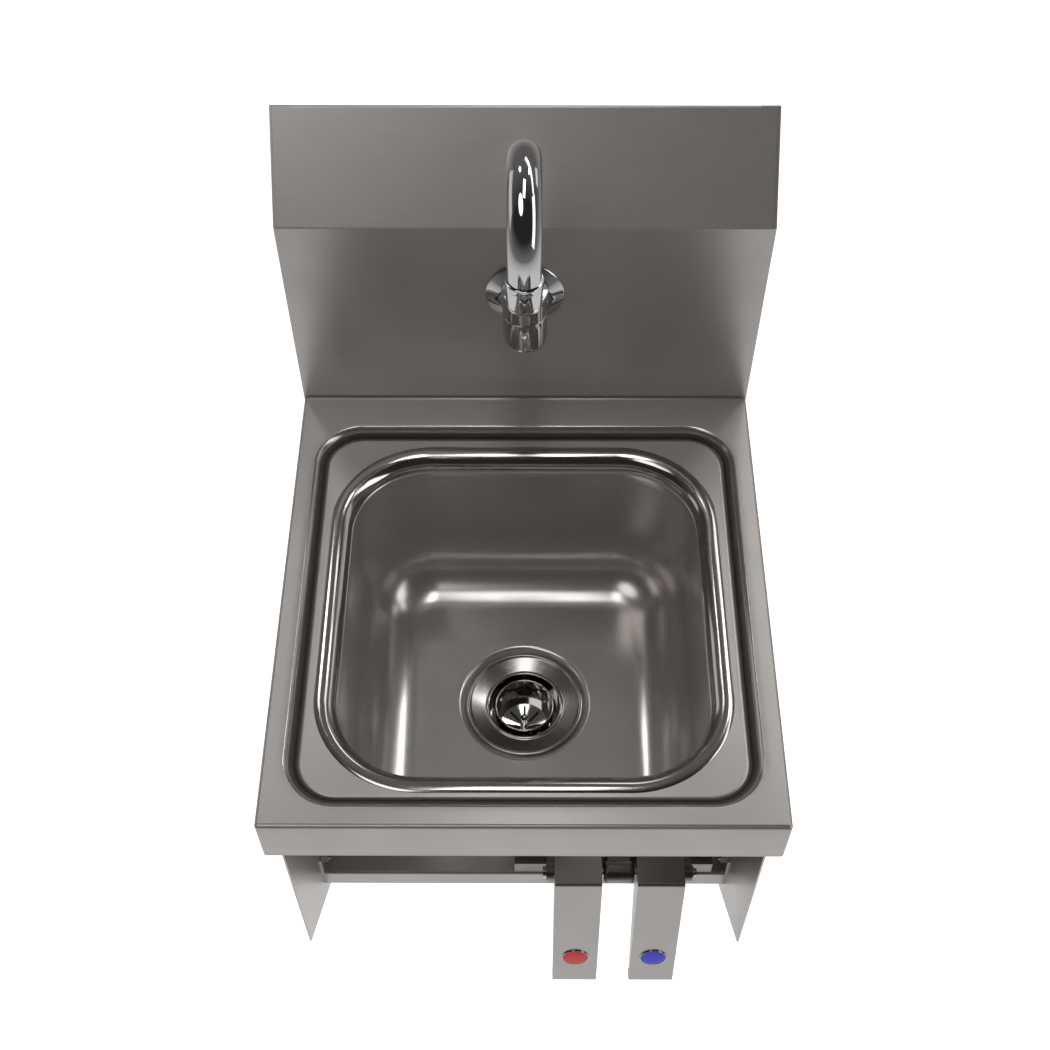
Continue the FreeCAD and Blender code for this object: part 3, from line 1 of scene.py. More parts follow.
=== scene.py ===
"""Looks of a wall-hung stainless hand sink with a gooseneck spout and a two-pedal knee valve.

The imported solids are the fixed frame. This script adds the surfaces that show, gives each piece its finish,
and sets up a plain studio with the photograph's camera. Sizes in the classes are in millimetres in the deck
frame: x to the right, y towards the wall, z up, from the middle of the line where deck and splash meet.
`to_row` moves them to the frame's own origin, in metres.
"""
import json
import logging
import math
from dataclasses import dataclass, field
from enum import Enum

import bpy
import numpy as np
from bpy.types import ID, Material, Mesh, Node, NodeTree, Object
from mathutils import Matrix


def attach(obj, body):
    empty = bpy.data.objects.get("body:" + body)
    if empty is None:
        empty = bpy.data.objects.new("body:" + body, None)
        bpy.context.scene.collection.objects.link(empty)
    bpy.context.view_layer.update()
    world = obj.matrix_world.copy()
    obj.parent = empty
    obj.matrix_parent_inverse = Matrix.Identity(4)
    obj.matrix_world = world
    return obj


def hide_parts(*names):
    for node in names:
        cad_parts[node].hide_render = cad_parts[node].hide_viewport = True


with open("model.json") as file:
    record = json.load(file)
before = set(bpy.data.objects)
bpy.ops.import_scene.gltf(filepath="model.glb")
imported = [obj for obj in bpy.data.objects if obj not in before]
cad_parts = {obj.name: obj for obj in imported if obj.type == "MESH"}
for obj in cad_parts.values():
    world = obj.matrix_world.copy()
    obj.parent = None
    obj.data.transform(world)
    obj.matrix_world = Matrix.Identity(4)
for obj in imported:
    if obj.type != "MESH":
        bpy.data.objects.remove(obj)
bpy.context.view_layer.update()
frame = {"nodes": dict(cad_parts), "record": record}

log = logging.getLogger("hand_sink")

Array = np.ndarray
ORIGIN = np.array([0.0, 50.8, 165.2])       # wall bracket's origin in the deck frame, mm
MM = 0.001
POLE = 0.02                                 # radius that closes a turned piece at its axis, mm
SHEET_MM = 1.2                              # thickness of the sink's sheet


# ---- places and meshes
def to_row(points: Array) -> Array:
    """Points in mm in the deck frame, as metres in the row frame.

    Args:
        points: array whose last axis is x, y, z.

    Returns:
        The same points, moved by the origin and scaled to metres.
    """
    return (np.asarray(points, float) - ORIGIN) * MM


def rounded(points: Array, radii: Array, steps: int = 6) -> Array:
    """A polyline with its corners rounded: each corner is the parabola through its two tangent points.

    Args:
        points: corners, shape (k, 2).
        radii: how far each corner's curve starts from it, shape (k,); 0 keeps it sharp.
        steps: points on each curve.

    Returns:
        The rounded polyline, shape (m, 2).
    """
    p = np.asarray(points, float)
    cut = np.asarray(radii, float)
    before = np.roll(p, 1, 0) - p
    after = np.roll(p, -1, 0) - p
    before[0] = after[-1] = 0.0
    length_b = np.linalg.norm(before, axis=1)
    length_a = np.linalg.norm(after, axis=1)
    cut_b = np.minimum(cut, length_b * 0.48)[:, None] / np.maximum(length_b, 1e-9)[:, None]
    cut_a = np.minimum(cut, length_a * 0.48)[:, None] / np.maximum(length_a, 1e-9)[:, None]
    t = np.linspace(0, 1, steps)[None, :, None]
    start, end = (p + before * cut_b)[:, None], (p + after * cut_a)[:, None]
    curve = (1 - t) ** 2 * start + 2 * t * (1 - t) * p[:, None] + t ** 2 * end
    line = curve.reshape(-1, 2)
    keep = np.r_[True, np.linalg.norm(np.diff(line, axis=0), axis=1) > 1e-4]
    return line[keep]


def grid_mesh(name: str, points: Array, around: bool, closed: bool, flip: bool = False) -> Mesh:
    """A mesh of quads on a grid of points.

    Args:
        name: the mesh's name.
        points: shape (rows, columns, 3), in the row frame in metres.
        around: the last column joins the first.
        closed: the last row joins the first.
        flip: turns the faces over.

    Returns:
        The mesh, shaded smooth.
    """
    rows, columns = points.shape[:2]
    row = np.arange(rows if closed else rows - 1)
    column = np.arange(columns if around else columns - 1)
    r0, c0 = [a.ravel() for a in np.meshgrid(row, column, indexing="ij")]
    r1, c1 = (r0 + 1) % rows, (c0 + 1) % columns
    corners = np.stack([r0 * columns + c0, r0 * columns + c1, r1 * columns + c1, r1 * columns + c0], 1)
    if flip:
        corners = corners[:, ::-1]
    mesh = bpy.data.meshes.new(name)
    mesh.vertices.add(rows * columns)
    mesh.vertices.foreach_set("co", points.reshape(-1).astype(np.float32))
    mesh.loops.add(corners.size)
    mesh.loops.foreach_set("vertex_index", np.ascontiguousarray(corners.ravel(), np.int32))
    mesh.polygons.add(len(corners))
    mesh.polygons.foreach_set("loop_start", np.arange(0, corners.size, 4, dtype=np.int32))
    mesh.polygons.foreach_set("use_smooth", np.ones(len(corners), bool))
    mesh.update(calc_edges=True)
    mesh.validate()
    return mesh


def turned(name: str, profile: Array, centre: Array, axis: str, segments: int = 128) -> Mesh:
    """A turned piece: the closed profile carried round an axis.

    A profile point (r, h) goes to centre + r (cos a, sin a) across the axis and h along it.

    Args:
        name: the mesh's name.
        profile: closed outline, shape (k, 2): radius and height in mm. A radius of 0 meets the axis.
        centre: point on the axis in mm, at height 0.
        axis: "z" or "y".
        segments: faces round the piece.

    Returns:
        A closed mesh with its faces outwards.
    """
    line = np.asarray(profile, float)
    area = np.sum(line[:, 0] * np.roll(line[:, 1], -1) - np.roll(line[:, 0], -1) * line[:, 1])
    angle = np.linspace(0, 2 * math.pi, segments, endpoint=False)
    radius, height = np.maximum(line[:, :1], POLE), np.repeat(line[:, 1:], segments, 1)
    across, beside = radius * np.cos(angle), radius * np.sin(angle)
    order = (across, beside, height) if axis == "z" else (beside, height, across)
    return grid_mesh(name, to_row(np.stack(order, -1) + np.asarray(centre, float)), True, True, area < 0)


def crease(mesh: Mesh, degrees: float = 32.0) -> Mesh:
    """Keeps an open mesh's outer edges sharp, and the edges that turn by more than an angle.

    Args:
        mesh: the mesh to mark.
        degrees: the angle.

    Returns:
        The same mesh.
    """
    mesh.set_sharp_from_angle(angle=math.radians(degrees))
    sharp = np.zeros(len(mesh.edges), bool)
    if "sharp_edge" in mesh.attributes:
        mesh.attributes["sharp_edge"].data.foreach_get("value", sharp)
    edge_of = np.zeros(len(mesh.loops), np.int32)
    mesh.loops.foreach_get("edge_index", edge_of)
    sharp |= np.bincount(edge_of, minlength=len(mesh.edges)) == 1
    marks = mesh.attributes.get("sharp_edge") or mesh.attributes.new("sharp_edge", "BOOLEAN", "EDGE")
    marks.data.foreach_set("value", sharp)
    return mesh


def add_object(name: str, data: ID) -> Object:
    """Puts a mesh, lamp or camera into the scene.

    Args:
        name: the object's name.
        data: what it holds.

    Returns:
        The object, at the origin.
    """
    made = bpy.data.objects.new(name, data)
    bpy.context.scene.collection.objects.link(made)
    return made


# ---- finishes
def linear(code: str) -> tuple[float, float, float, float]:
    """An sRGB colour as linear light: v / 12.92 at the dark end, else ((v + 0.055) / 1.055) ^ 2.4.

    Args:
        code: the colour in hex, such as "#a3a09c".

    Returns:
        Red, green, blue and 1.
    """
    value = np.array([int(code[i:i + 2], 16) for i in (1, 3, 5)]) / 255
    out = np.where(value <= 0.04045, value / 12.92, ((value + 0.055) / 1.055) ** 2.4)
    return (*out.tolist(), 1.0)


def add_node(tree: NodeTree, kind: str, settings: dict[str | int, object] | None = None,
             links: dict[str | int, object] | None = None, **attributes: object) -> Node:
    """Adds a node with its settings and links.

    Args:
        tree: the node tree.
        kind: the node's type.
        settings: input name or number to value.
        links: input name or number to the output that feeds it.
        attributes: properties of the node itself.

    Returns:
        The node.
    """
    node = tree.nodes.new(kind)
    for key, value in attributes.items():
        setattr(node, key, value)
    for key, value in (settings or {}).items():
        node.inputs[key].default_value = value
    for key, value in (links or {}).items():
        tree.links.new(value, node.inputs[key])
    return node


def blank_material(name: str) -> tuple[Material, NodeTree]:
    """A new material with an empty node tree.

    Args:
        name: the material's name.

    Returns:
        The material and its tree.
    """
    material = bpy.data.materials.new(name)
    material.use_nodes = True
    material.node_tree.nodes.clear()
    return material, material.node_tree


def ramp(tree: NodeTree, source: object, low: float, high: float,
         to_low: float, to_high: float) -> object:
    """A number taken from one range to another; returns the output socket."""
    node = add_node(tree, "ShaderNodeMapRange", {1: low, 2: high, 3: to_low, 4: to_high}, {0: source})
    return node.outputs[0]


class Grain(Enum):
    """Which way a finish's fine lines run, as a direction. They are never quite square to a fold."""

    NONE = (0.0, 0.0, 0.0)
    ALONG_X = (1.0, 0.02, 0.05)
    ALONG_Z = (0.02, 0.05, 1.0)

    def stretch(self) -> tuple[float, float, float]:
        """How much the pattern is drawn out along x, y and z: fifty times along the grain."""
        return tuple(0.02 if part == 1.0 else 1.0 for part in self.value)


@dataclass(frozen=True)
class Metal:
    """A bare or plated metal.

    The grain is a stretched noise whose narrow way is `line_mm`. It moves the roughness, the colour and a
    very shallow bump. A second, wide noise of `cloud_mm` is the handling and rolling marks of the sheet.
    A `metallic` below 1 is the light that fine scratches scatter every way.
    """

    name: str
    colour: str
    roughness: float
    grain: Grain = Grain.NONE
    line_mm: float = 0.5
    line_depth_um: float = 2.0
    spread: float = 0.05
    cloud_mm: float = 45.0
    cloud: float = 0.05
    tint: str = ""
    anisotropic: float = 0.0
    metallic: float = 1.0

    def build(self) -> Material:
        """Makes the material.

        Returns:
            The material, on Object coordinates.
        """
        material, tree = blank_material(self.name)
        place = add_node(tree, "ShaderNodeTexCoord").outputs["Object"]
        stretched = add_node(tree, "ShaderNodeMapping", {"Scale": self.grain.stretch()},
                             {"Vector": place})
        lines = add_node(tree, "ShaderNodeTexNoise",
                         {"Scale": 1 / (self.line_mm * MM), "Detail": 3.0, "Roughness": 0.6},
                         {"Vector": stretched.outputs[0]})
        clouds = add_node(tree, "ShaderNodeTexNoise",
                          {"Scale": 1 / (self.cloud_mm * MM), "Detail": 4.0, "Roughness": 0.55},
                          {"Vector": place})
        fine = ramp(tree, lines.outputs["Fac"], 0.3, 0.7, -self.spread, self.spread)
        wide = ramp(tree, clouds.outputs["Fac"], 0.35, 0.65, -self.cloud, self.cloud)
        both = add_node(tree, "ShaderNodeMath", links={0: fine, 1: wide}, operation="ADD").outputs[0]
        rough = add_node(tree, "ShaderNodeMath", {0: self.roughness}, {1: both}, operation="ADD",
                         use_clamp=True).outputs[0]
        base, other = linear(self.colour), linear(self.tint or self.colour)
        shade = ramp(tree, lines.outputs["Fac"], 0.3, 0.7, 0.93, 1.0)
        tone = add_node(tree, "ShaderNodeMix", {6: base, 7: other},
                        {0: ramp(tree, clouds.outputs["Fac"], 0.38, 0.62, 0.0, 1.0)}, data_type="RGBA")
        colour = add_node(tree, "ShaderNodeVectorMath", links={0: tone.outputs[2], "Scale": shade},
                          operation="SCALE")
        bump = add_node(tree, "ShaderNodeBump", {"Strength": 1.0, "Distance": self.line_depth_um * 1e-6},
                        {"Height": lines.outputs["Fac"]})
        inputs = {"Base Color": colour.outputs[0], "Roughness": rough, "Normal": bump.outputs[0]}
        if self.anisotropic:
            facing = add_node(tree, "ShaderNodeNewGeometry").outputs["Normal"]
            inputs["Tangent"] = add_node(tree, "ShaderNodeVectorMath", {1: self.grain.value}, {0: facing},
                                         operation="CROSS_PRODUCT").outputs[0]
        shader = add_node(tree, "ShaderNodeBsdfPrincipled",
                          {"Metallic": self.metallic, "Anisotropic": self.anisotropic}, inputs)
        add_node(tree, "ShaderNodeOutputMaterial", links={"Surface": shader.outputs[0]})
        return material


@dataclass(frozen=True)
class Moulded:
    """Rubber, fibre, plastic or enamel: one colour with a fine mottle and a shallow texture."""

    name: str
    colour: str
    shade: str
    roughness: float
    ior: float
    grit_mm: float
    depth_um: float

    def build(self) -> Material:
        """Makes the material.

        Returns:
            The material, on Object coordinates.
        """
        material, tree = blank_material(self.name)
        place = add_node(tree, "ShaderNodeTexCoord").outputs["Object"]
        grit = add_node(tree, "ShaderNodeTexNoise",
                        {"Scale": 1 / (self.grit_mm * MM), "Detail": 3.0}, {"Vector": place})
        tone = add_node(tree, "ShaderNodeMix", {6: linear(self.colour), 7: linear(self.shade)},
                        {0: ramp(tree, grit.outputs["Fac"], 0.35, 0.65, 0.0, 1.0)}, data_type="RGBA")
        rough = ramp(tree, grit.outputs["Fac"], 0.3, 0.7, self.roughness - 0.04, self.roughness + 0.04)
        bump = add_node(tree, "ShaderNodeBump", {"Strength": 1.0, "Distance": self.depth_um * 1e-6},
                        {"Height": grit.outputs["Fac"]})
        shader = add_node(tree, "ShaderNodeBsdfPrincipled",
                          {"IOR": self.ior},
                          {"Base Color": tone.outputs[2], "Roughness": rough, "Normal": bump.outputs[0]})
        add_node(tree, "ShaderNodeOutputMaterial", links={"Surface": shader.outputs[0]})
        return material


class Finish(Enum):
    """The finishes, each named for the real one. Grain lines of about 0.1 mm are drawn at 0.4 to 0.5 mm,
    the finest that the render shows."""

    # grade 304 sheet with a satin belt finish along x: soft, slightly warm, a little streaky
    SHEET = Metal("satin_stainless_sheet", "#bab5b1", 0.34, Grain.ALONG_X, 0.5, 1.5, 0.03, 45, 0.015,
                  tint="#b6b2af", anisotropic=0.5, metallic=0.78)
    # the walls of the pressed step, which the press has ironed smooth
    STEP = Metal("ironed_stainless_step", "#bab5b1", 0.22, Grain.ALONG_X, 0.5, 1.0, 0.02, 45, 0.015,
                 tint="#b6b2af", metallic=0.88)
    # the same sheet on the upright panels
    PANEL = Metal("satin_stainless_panel", "#bab5b1", 0.34, Grain.ALONG_Z, 0.5, 1.5, 0.03, 45, 0.015,
                  tint="#b6b2af", anisotropic=0.5, metallic=0.85)
    # deep drawn and buffed: smoother than the sheet, with soft clouds
    BOWL = Metal("buffed_drawn_stainless", "#c4bfbb", 0.21, Grain.ALONG_Z, 0.8, 0.8, 0.02, 60, 0.02,
                 tint="#c0bbb8", metallic=0.78)
    # the rolled edge is polished after it is formed
    RIM = Metal("polished_rolled_edge", "#c4c0bc", 0.13, Grain.NONE, 0.6, 0.5, 0.02, 40, 0.02)
    # pressed sheet of the pedals
    PEDAL = Metal("satin_pressed_stainless", "#aeaaa6", 0.32, Grain.ALONG_Z, 0.45, 1.2, 0.02, 30, 0.015,
                  tint="#aba7a4", anisotropic=0.5, metallic=0.94)
    # turned on a lathe and brushed round
    TURNED = Metal("turned_satin_stainless", "#aba6a2", 0.20, Grain.NONE, 0.5, 1.0, 0.04, 20, 0.03)
    POLISHED = Metal("polished_stainless", "#c2bfbb", 0.08, Grain.NONE, 0.5, 0.3, 0.02, 25, 0.02)
    # chrome on polished brass: a clean mirror with faint wiping marks
    CHROME = Metal("polished_chrome_plate", "#cfcfd0", 0.05, Grain.NONE, 0.6, 0.2, 0.015, 30, 0.015)
    # cast body with a satin nickel plate: fine sand grain under the plate
    CAST = Metal("satin_nickel_on_cast_brass", "#8f8b86", 0.34, Grain.NONE, 0.7, 18.0, 0.06, 25, 0.05,
                 tint="#87827c")
    ZINC = Metal("bright_zinc_plate", "#b0b2b2", 0.30, Grain.NONE, 1.2, 3.0, 0.06, 14, 0.06,
                 tint="#b3ae98")
    BRASS = Metal("turned_brass", "#b9974f", 0.24, Grain.NONE, 0.5, 2.0, 0.05, 14, 0.05, tint="#a98542")
    COPPER = Metal("drawn_copper_tube", "#b87a55", 0.26, Grain.NONE, 0.6, 1.0, 0.05, 22, 0.06,
                   tint="#9e6244")
    SPRING = Metal("drawn_spring_wire", "#8b8d90", 0.28, Grain.NONE, 0.3, 1.0, 0.05, 10, 0.03)
    RUBBER = Moulded("black_nitrile_rubber", "#1d1d1f", "#242426", 0.62, 1.52, 0.8, 12.0)
    FIBRE = Moulded("pressed_red_fibre", "#7a2f22", "#6a2a20", 0.7, 1.5, 0.6, 15.0)
    ACETAL = Moulded("white_acetal", "#e8e8e6", "#dededb", 0.38, 1.48, 1.5, 3.0)
    RED = Moulded("red_enamel", "#e01c1f", "#d8181b", 0.35, 1.45, 3.0, 1.0)
    BLUE = Moulded("blue_enamel", "#2f2bd6", "#2924cc", 0.35, 1.45, 3.0, 1.0)


SLOT_FINISH = {
    "sheet_satin": Finish.SHEET, "bowl_satin": Finish.BOWL, "pressed_satin": Finish.PEDAL,
    "zinc_steel": Finish.ZINC, "cast_satin": Finish.CAST, "polished_steel": Finish.POLISHED,
    "chrome": Finish.CHROME, "brass": Finish.BRASS, "copper": Finish.COPPER, "rubber": Finish.RUBBER,
    "fibre": Finish.FIBRE, "white_plastic": Finish.ACETAL, "red_disc": Finish.RED,
    "blue_disc": Finish.BLUE, "spring_steel": Finish.SPRING,
}
UPRIGHT_PANELS = ("side_panel_left", "side_panel_right")


@dataclass
class Workshop:
    """Makes each finish once and fits pieces to the frame."""

    made: dict[Finish, Material] = field(default_factory=dict)

    def finish(self, kind: Finish) -> Material:
        """The material of a finish, made when it is first asked for.

        Args:
            kind: the finish.

        Returns:
            Its material.
        """
        if kind not in self.made:
            self.made[kind] = kind.value.build()
        return self.made[kind]

    def fit(self, name: str, mesh: Mesh, body: str, finishes: list[Finish],
            stands_for: tuple[str, ...] = ()) -> Object:
        """Adds a piece that rides on a body.

        Args:
            name: the piece's name.
            mesh: its mesh, in the row frame.
            body: the body that it rides on.
            finishes: its finishes, in the order of the mesh's material numbers.
            stands_for: the nodes that it replaces.

        Returns:
            The piece's object.
        """
        piece = add_object(name, mesh)
        for kind in finishes:
            mesh.materials.append(self.finish(kind))
        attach(piece, body)
        if stands_for:
            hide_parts(*stands_for)
        log.info("%s: %d faces", name, len(mesh.polygons))
        return piece

    def dress_frame(self) -> None:
        """Gives each node of the frame the finish of its slot."""
        slots = {part["node"]: part["material_slot"] for part in frame["record"]["subparts"]}
        for name, node in frame["nodes"].items():
            kind = Finish.PANEL if name in UPRIGHT_PANELS else SLOT_FINISH[slots[name]]
            node.data.materials.clear()
            node.data.materials.append(self.finish(kind))
        log.info("frame dressed: %d nodes", len(frame["nodes"]))


def thicken(piece: Object, thickness: float) -> None:
    """Gives a surface its sheet's thickness in mm, on the side away from its faces."""
    wall = piece.modifiers.new("sheet_thickness", "SOLIDIFY")
    wall.thickness, wall.offset, wall.use_even_offset = thickness * MM, -1.0, True


def strip(name: str, x: Array, outline: Array, degrees: float) -> Mesh:
    """A closed outline carried along x.

    Args:
        name: the mesh's name.
        x: the places along x, mm.
        outline: points (y, z), shape (k, 2), mm.
        degrees: edges that turn by more than this are sharp.

    Returns:
        The mesh, open at its two ends.
    """
    shape = (len(outline), len(x))
    rows = np.stack([np.broadcast_to(x, shape), np.broadcast_to(outline[:, :1], shape),
                     np.broadcast_to(outline[:, 1:], shape)], -1)
    return crease(grid_mesh(name, to_row(rows), False, True), degrees)


# ---- loops of the pressed top
def corner_loops(half_x: Array, front: Array, rear: Array, radius: Array, z: Array,
                 per_corner: int = 28, per_side: int = 20) -> Array:
    """Rounded rectangles one inside the other, with matching points.

    Each loop is four quarter circles joined by straight sides; each side is divided evenly.

    Args:
        half_x: half widths, shape (k,).
        front: lowest y of each loop, shape (k,).
        rear: highest y of each loop, shape (k,).
        radius: corner radii, shape (k,).
        z: heights, shape (k,).
        per_corner: steps on each quarter circle.
        per_side: steps on each side.

    Returns:
        Points, shape (k, n, 3), anticlockwise from above.
    """
    quarter = np.linspace(0, math.pi / 2, per_corner + 1)
    sign_x, sign_y = np.array([1, -1, -1, 1]), np.array([1, 1, -1, -1])
    angle = quarter[None, :] + np.arange(4)[:, None] * math.pi / 2
    middle_x = sign_x[None] * (half_x - radius)[:, None]
    middle_y = np.where(sign_y[None] > 0, (rear - radius)[:, None], (front + radius)[:, None])
    x = middle_x[:, :, None] + radius[:, None, None] * np.cos(angle)[None]
    y = middle_y[:, :, None] + radius[:, None, None] * np.sin(angle)[None]
    arcs = np.stack([x, y], -1)
    step = np.linspace(0, 1, per_side + 1)[1:-1][None, None, :, None]
    ends, starts = arcs[:, :, -1:], np.roll(arcs, -1, 1)[:, :, :1]
    sides = ends + (starts - ends) * step
    plan = np.concatenate([arcs, sides], 2).reshape(len(half_x), -1, 2)
    height = np.broadcast_to(z[:, None, None], plan.shape[:2] + (1,))
    return np.concatenate([plan, height], -1)


def ray_loops(half_x: Array, half_y: Array, radius: Array, z: Array, centre_y: float,
              segments: int = 512) -> Array:
    """Rounded rectangles about one centre, each met by the same fan of rays.

    A ray meets a straight side, or else the corner's circle at t = d.c + sqrt((d.c)^2 - |c|^2 + r^2).

    Args:
        half_x: half widths, shape (k,).
        half_y: half lengths, shape (k,).
        radius: corner radii, shape (k,).
        z: heights, shape (k,).
        centre_y: y of the common centre.
        segments: rays.

    Returns:
        Points, shape (k, segments, 3), anticlockwise from above.
    """
    angle = np.linspace(0, 2 * math.pi, segments, endpoint=False)[None]
    cos, sin = np.cos(angle), np.sin(angle)
    c, s = np.maximum(np.abs(cos), 1e-9), np.maximum(np.abs(sin), 1e-9)
    hx, hy, r = half_x[:, None], half_y[:, None], radius[:, None]
    to_side, to_end = hx / c, hy / s
    corner_x, corner_y = hx - r, hy - r
    dot = c * corner_x + s * corner_y
    root = np.maximum(dot ** 2 - corner_x ** 2 - corner_y ** 2 + r ** 2, 0)
    reach = np.where(to_side * s <= corner_y, to_side, np.where(to_end * c <= corner_x, to_end,
                                                               dot + np.sqrt(root)))
    return np.stack([reach * cos, reach * sin + centre_y, np.broadcast_to(z[:, None], reach.shape)], -1)


# ---- sink top
@dataclass
class SinkTop:
    """The folded and pressed top: border, sloped step, lower deck, polished rolled edge, aprons."""

    half_width: float = 152.4
    length: float = 319.3
    apron: float = 39.5
    hem: float = 11.0
    bend: float = 2.0
    sheet: float = SHEET_MM
    border: tuple[float, float, float] = (12.2, 12.3, 25.3)     # side, front, rear
    step: tuple[float, float] = (6.5, 5.5)                      # run and drop
    step_corner: float = 32.0
    bowl_half: tuple[float, float] = (114.0, 115.5)
    bowl_corner: float = 52.0
    bowl_y: float = -167.6

    def rim_profile(self) -> tuple[Array, Array]:
        """Outset from the bowl's wall and height of the rolled edge, from its crease down to its end.

        The bead rises 0.9 mm from the crease and then turns down as a quarter of an ellipse.

        Returns:
            Outsets and heights, shape (k,) each.
        """
        rise_d = np.array([12.4, 12.15, 11.9, 11.6, 11.2, 10.8, 10.2, 9.4])
        rise_z = np.array([-5.5, -5.49, -5.4, -5.22, -5.02, -4.88, -4.74, -4.63])
        turn = np.linspace(0.05, math.pi / 2, 30)
        roll_d, roll_z = 8.2 - 7.7 * np.sin(turn), -12.6 + 8.0 * np.cos(turn)
        end_d, end_z = np.array([0.5, 0.5, 0.6, 0.9, 1.4]), np.array([-12.9, -13.2, -13.6, -13.9, -14.0])
        d = np.concatenate([rise_d, roll_d, end_d])
        z = np.concatenate([rise_z, roll_z, end_z])
        return d, z

    def top_mesh(self) -> Mesh:
        """The top as rounded rectangles from the border's edge to the rolled edge's end.

        Returns:
            The mesh, with material numbers 0 for sheet, 1 for the rolled edge and 2 for the step.
        """
        side, front, rear = self.border
        run, drop = self.step
        slope = rounded(np.array([[-4.0, 0.0], [0.0, 0.0], [run, -drop], [run + 3.5, -drop]]),
                        np.array([0, 0.3, 0.2, 0]), 5)
        s, z = slope[:, 0], slope[:, 1]
        half = self.half_width - side - s
        y0, y1 = -self.length + front + s, -rear - s
        radius = self.step_corner - s
        edge_in = self.bend
        half = np.r_[self.half_width - edge_in, half]
        y0, y1 = np.r_[-self.length + edge_in, y0], np.r_[0.0, y1]
        radius, z = np.r_[0.4, radius], np.r_[0.0, z]
        d, rim_z = self.rim_profile()
        half = np.r_[half, self.bowl_half[0] + d]
        y0 = np.r_[y0, self.bowl_y - self.bowl_half[1] - d]
        y1 = np.r_[y1, self.bowl_y + self.bowl_half[1] + d]
        radius, z = np.r_[radius, self.bowl_corner + d], np.r_[z, rim_z]
        loops = corner_loops(half, y0, y1, radius, z)
        mesh = grid_mesh("deck_top", to_row(loops), True, False, flip=True)
        rows = np.repeat(np.arange(len(half) - 1), loops.shape[1])
        on_step = (rows >= 3) & (rows < 1 + len(slope) - 3)
        kinds = np.where(rows >= len(half) - len(d), 1, np.where(on_step, 2, 0))
        mesh.polygons.foreach_set("material_index", kinds.astype(np.int32))
        return crease(mesh, 34)

    def apron_mesh(self) -> Mesh:
        """The folded edge and aprons: a profile carried along the left, front and right sides.

        The path is three straight runs with small quarter circles at the front corners. The profile is a
        quarter circle at the top, the upright apron, and a small turn under it.

        Returns:
            The mesh, open at the splash and under the aprons.
        """
        turn = np.linspace(0, math.pi / 2, 9)
        out = np.r_[-self.bend + self.bend * np.sin(turn), 0.0, 0.0, 0.0, -0.3, -1.0, -self.sheet * 1.6]
        z = np.r_[-self.bend + self.bend * np.cos(turn), -12.0, -self.apron + 12, -self.apron + 1.0,
                  -self.apron + 0.3, -self.apron, -self.apron]
        corner = 2.4
        quarter = np.linspace(0, math.pi / 2, 10)
        hx, front = self.half_width, -self.length
        left_run = np.linspace(0.0, front + corner, 30)
        cx, cy = hx - corner, front + corner
        arc_x, arc_y = -cx - corner * np.cos(quarter), cy - corner * np.sin(quarter)
        across = np.linspace(-cx, cx, 40)[1:-1]
        path = np.concatenate([
            np.stack([np.full(30, -hx), left_run], 1), np.stack([arc_x, arc_y], 1)[1:],
            np.stack([across, np.full(38, front)], 1), np.stack([-arc_x[::-1], arc_y[::-1]], 1),
            np.stack([np.full(29, hx), left_run[::-1][1:]], 1)])
        tangent = np.gradient(path, axis=0)
        tangent /= np.linalg.norm(tangent, axis=1, keepdims=True)
        outward = np.stack([tangent[:, 1], -tangent[:, 0]], 1)
        plan = path[None] + out[:, None, None] * outward[None]
        height = np.broadcast_to(z[:, None, None], plan.shape[:2] + (1,))
        return crease(grid_mesh("deck_apron", to_row(np.concatenate([plan, height], -1)), False, False,
                                flip=True), 40)

    def hem_mesh(self) -> Mesh:
        """The front apron's lower edge, turned back: a flat strip with a rounded rear edge.

        Returns:
            The mesh.
        """
        x = np.linspace(-self.half_width + 3.2, self.half_width - 3.2, 24)
        y0, y1 = -self.length + 1.0, -self.length + self.sheet + self.hem
        outline = rounded(np.array([[y0, -self.apron + self.sheet], [y0, -self.apron], [y1, -self.apron],
                                    [y1, -self.apron + self.sheet]]), np.array([0.3, 0.3, 0.5, 0.5]), 4)
        return strip("deck_hem", x, outline, 40)

    def seam_mesh(self) -> Mesh:
        """The cove where the deck turns up into the splash: two slopes and a rounding, carried along x.

        Returns:
            The mesh.
        """
        x = np.linspace(-150.6, 150.6, 60)
        outline = rounded(np.array([[-2.4, -0.1], [-2.4, 0.0], [-0.75, 0.85], [0.0, 3.3], [0.2, 3.3],
                                    [0.2, -0.1]]), np.array([0, 0.02, 0.5, 0.02, 0, 0]), 6)
        return strip("splash_cove", x, outline, 60)

    def build(self, shop: Workshop) -> None:
        """Builds and dresses the top."""
        top = shop.fit("deck_pressing", self.top_mesh(), "sink",
                       [Finish.SHEET, Finish.RIM, Finish.STEP], ("deck",))
        apron = shop.fit("deck_aprons", self.apron_mesh(), "sink", [Finish.SHEET])
        thicken(top, self.sheet)
        thicken(apron, self.sheet)
        shop.fit("deck_hem", self.hem_mesh(), "sink", [Finish.SHEET])
        shop.fit("splash_cove", self.seam_mesh(), "sink", [Finish.RIM])


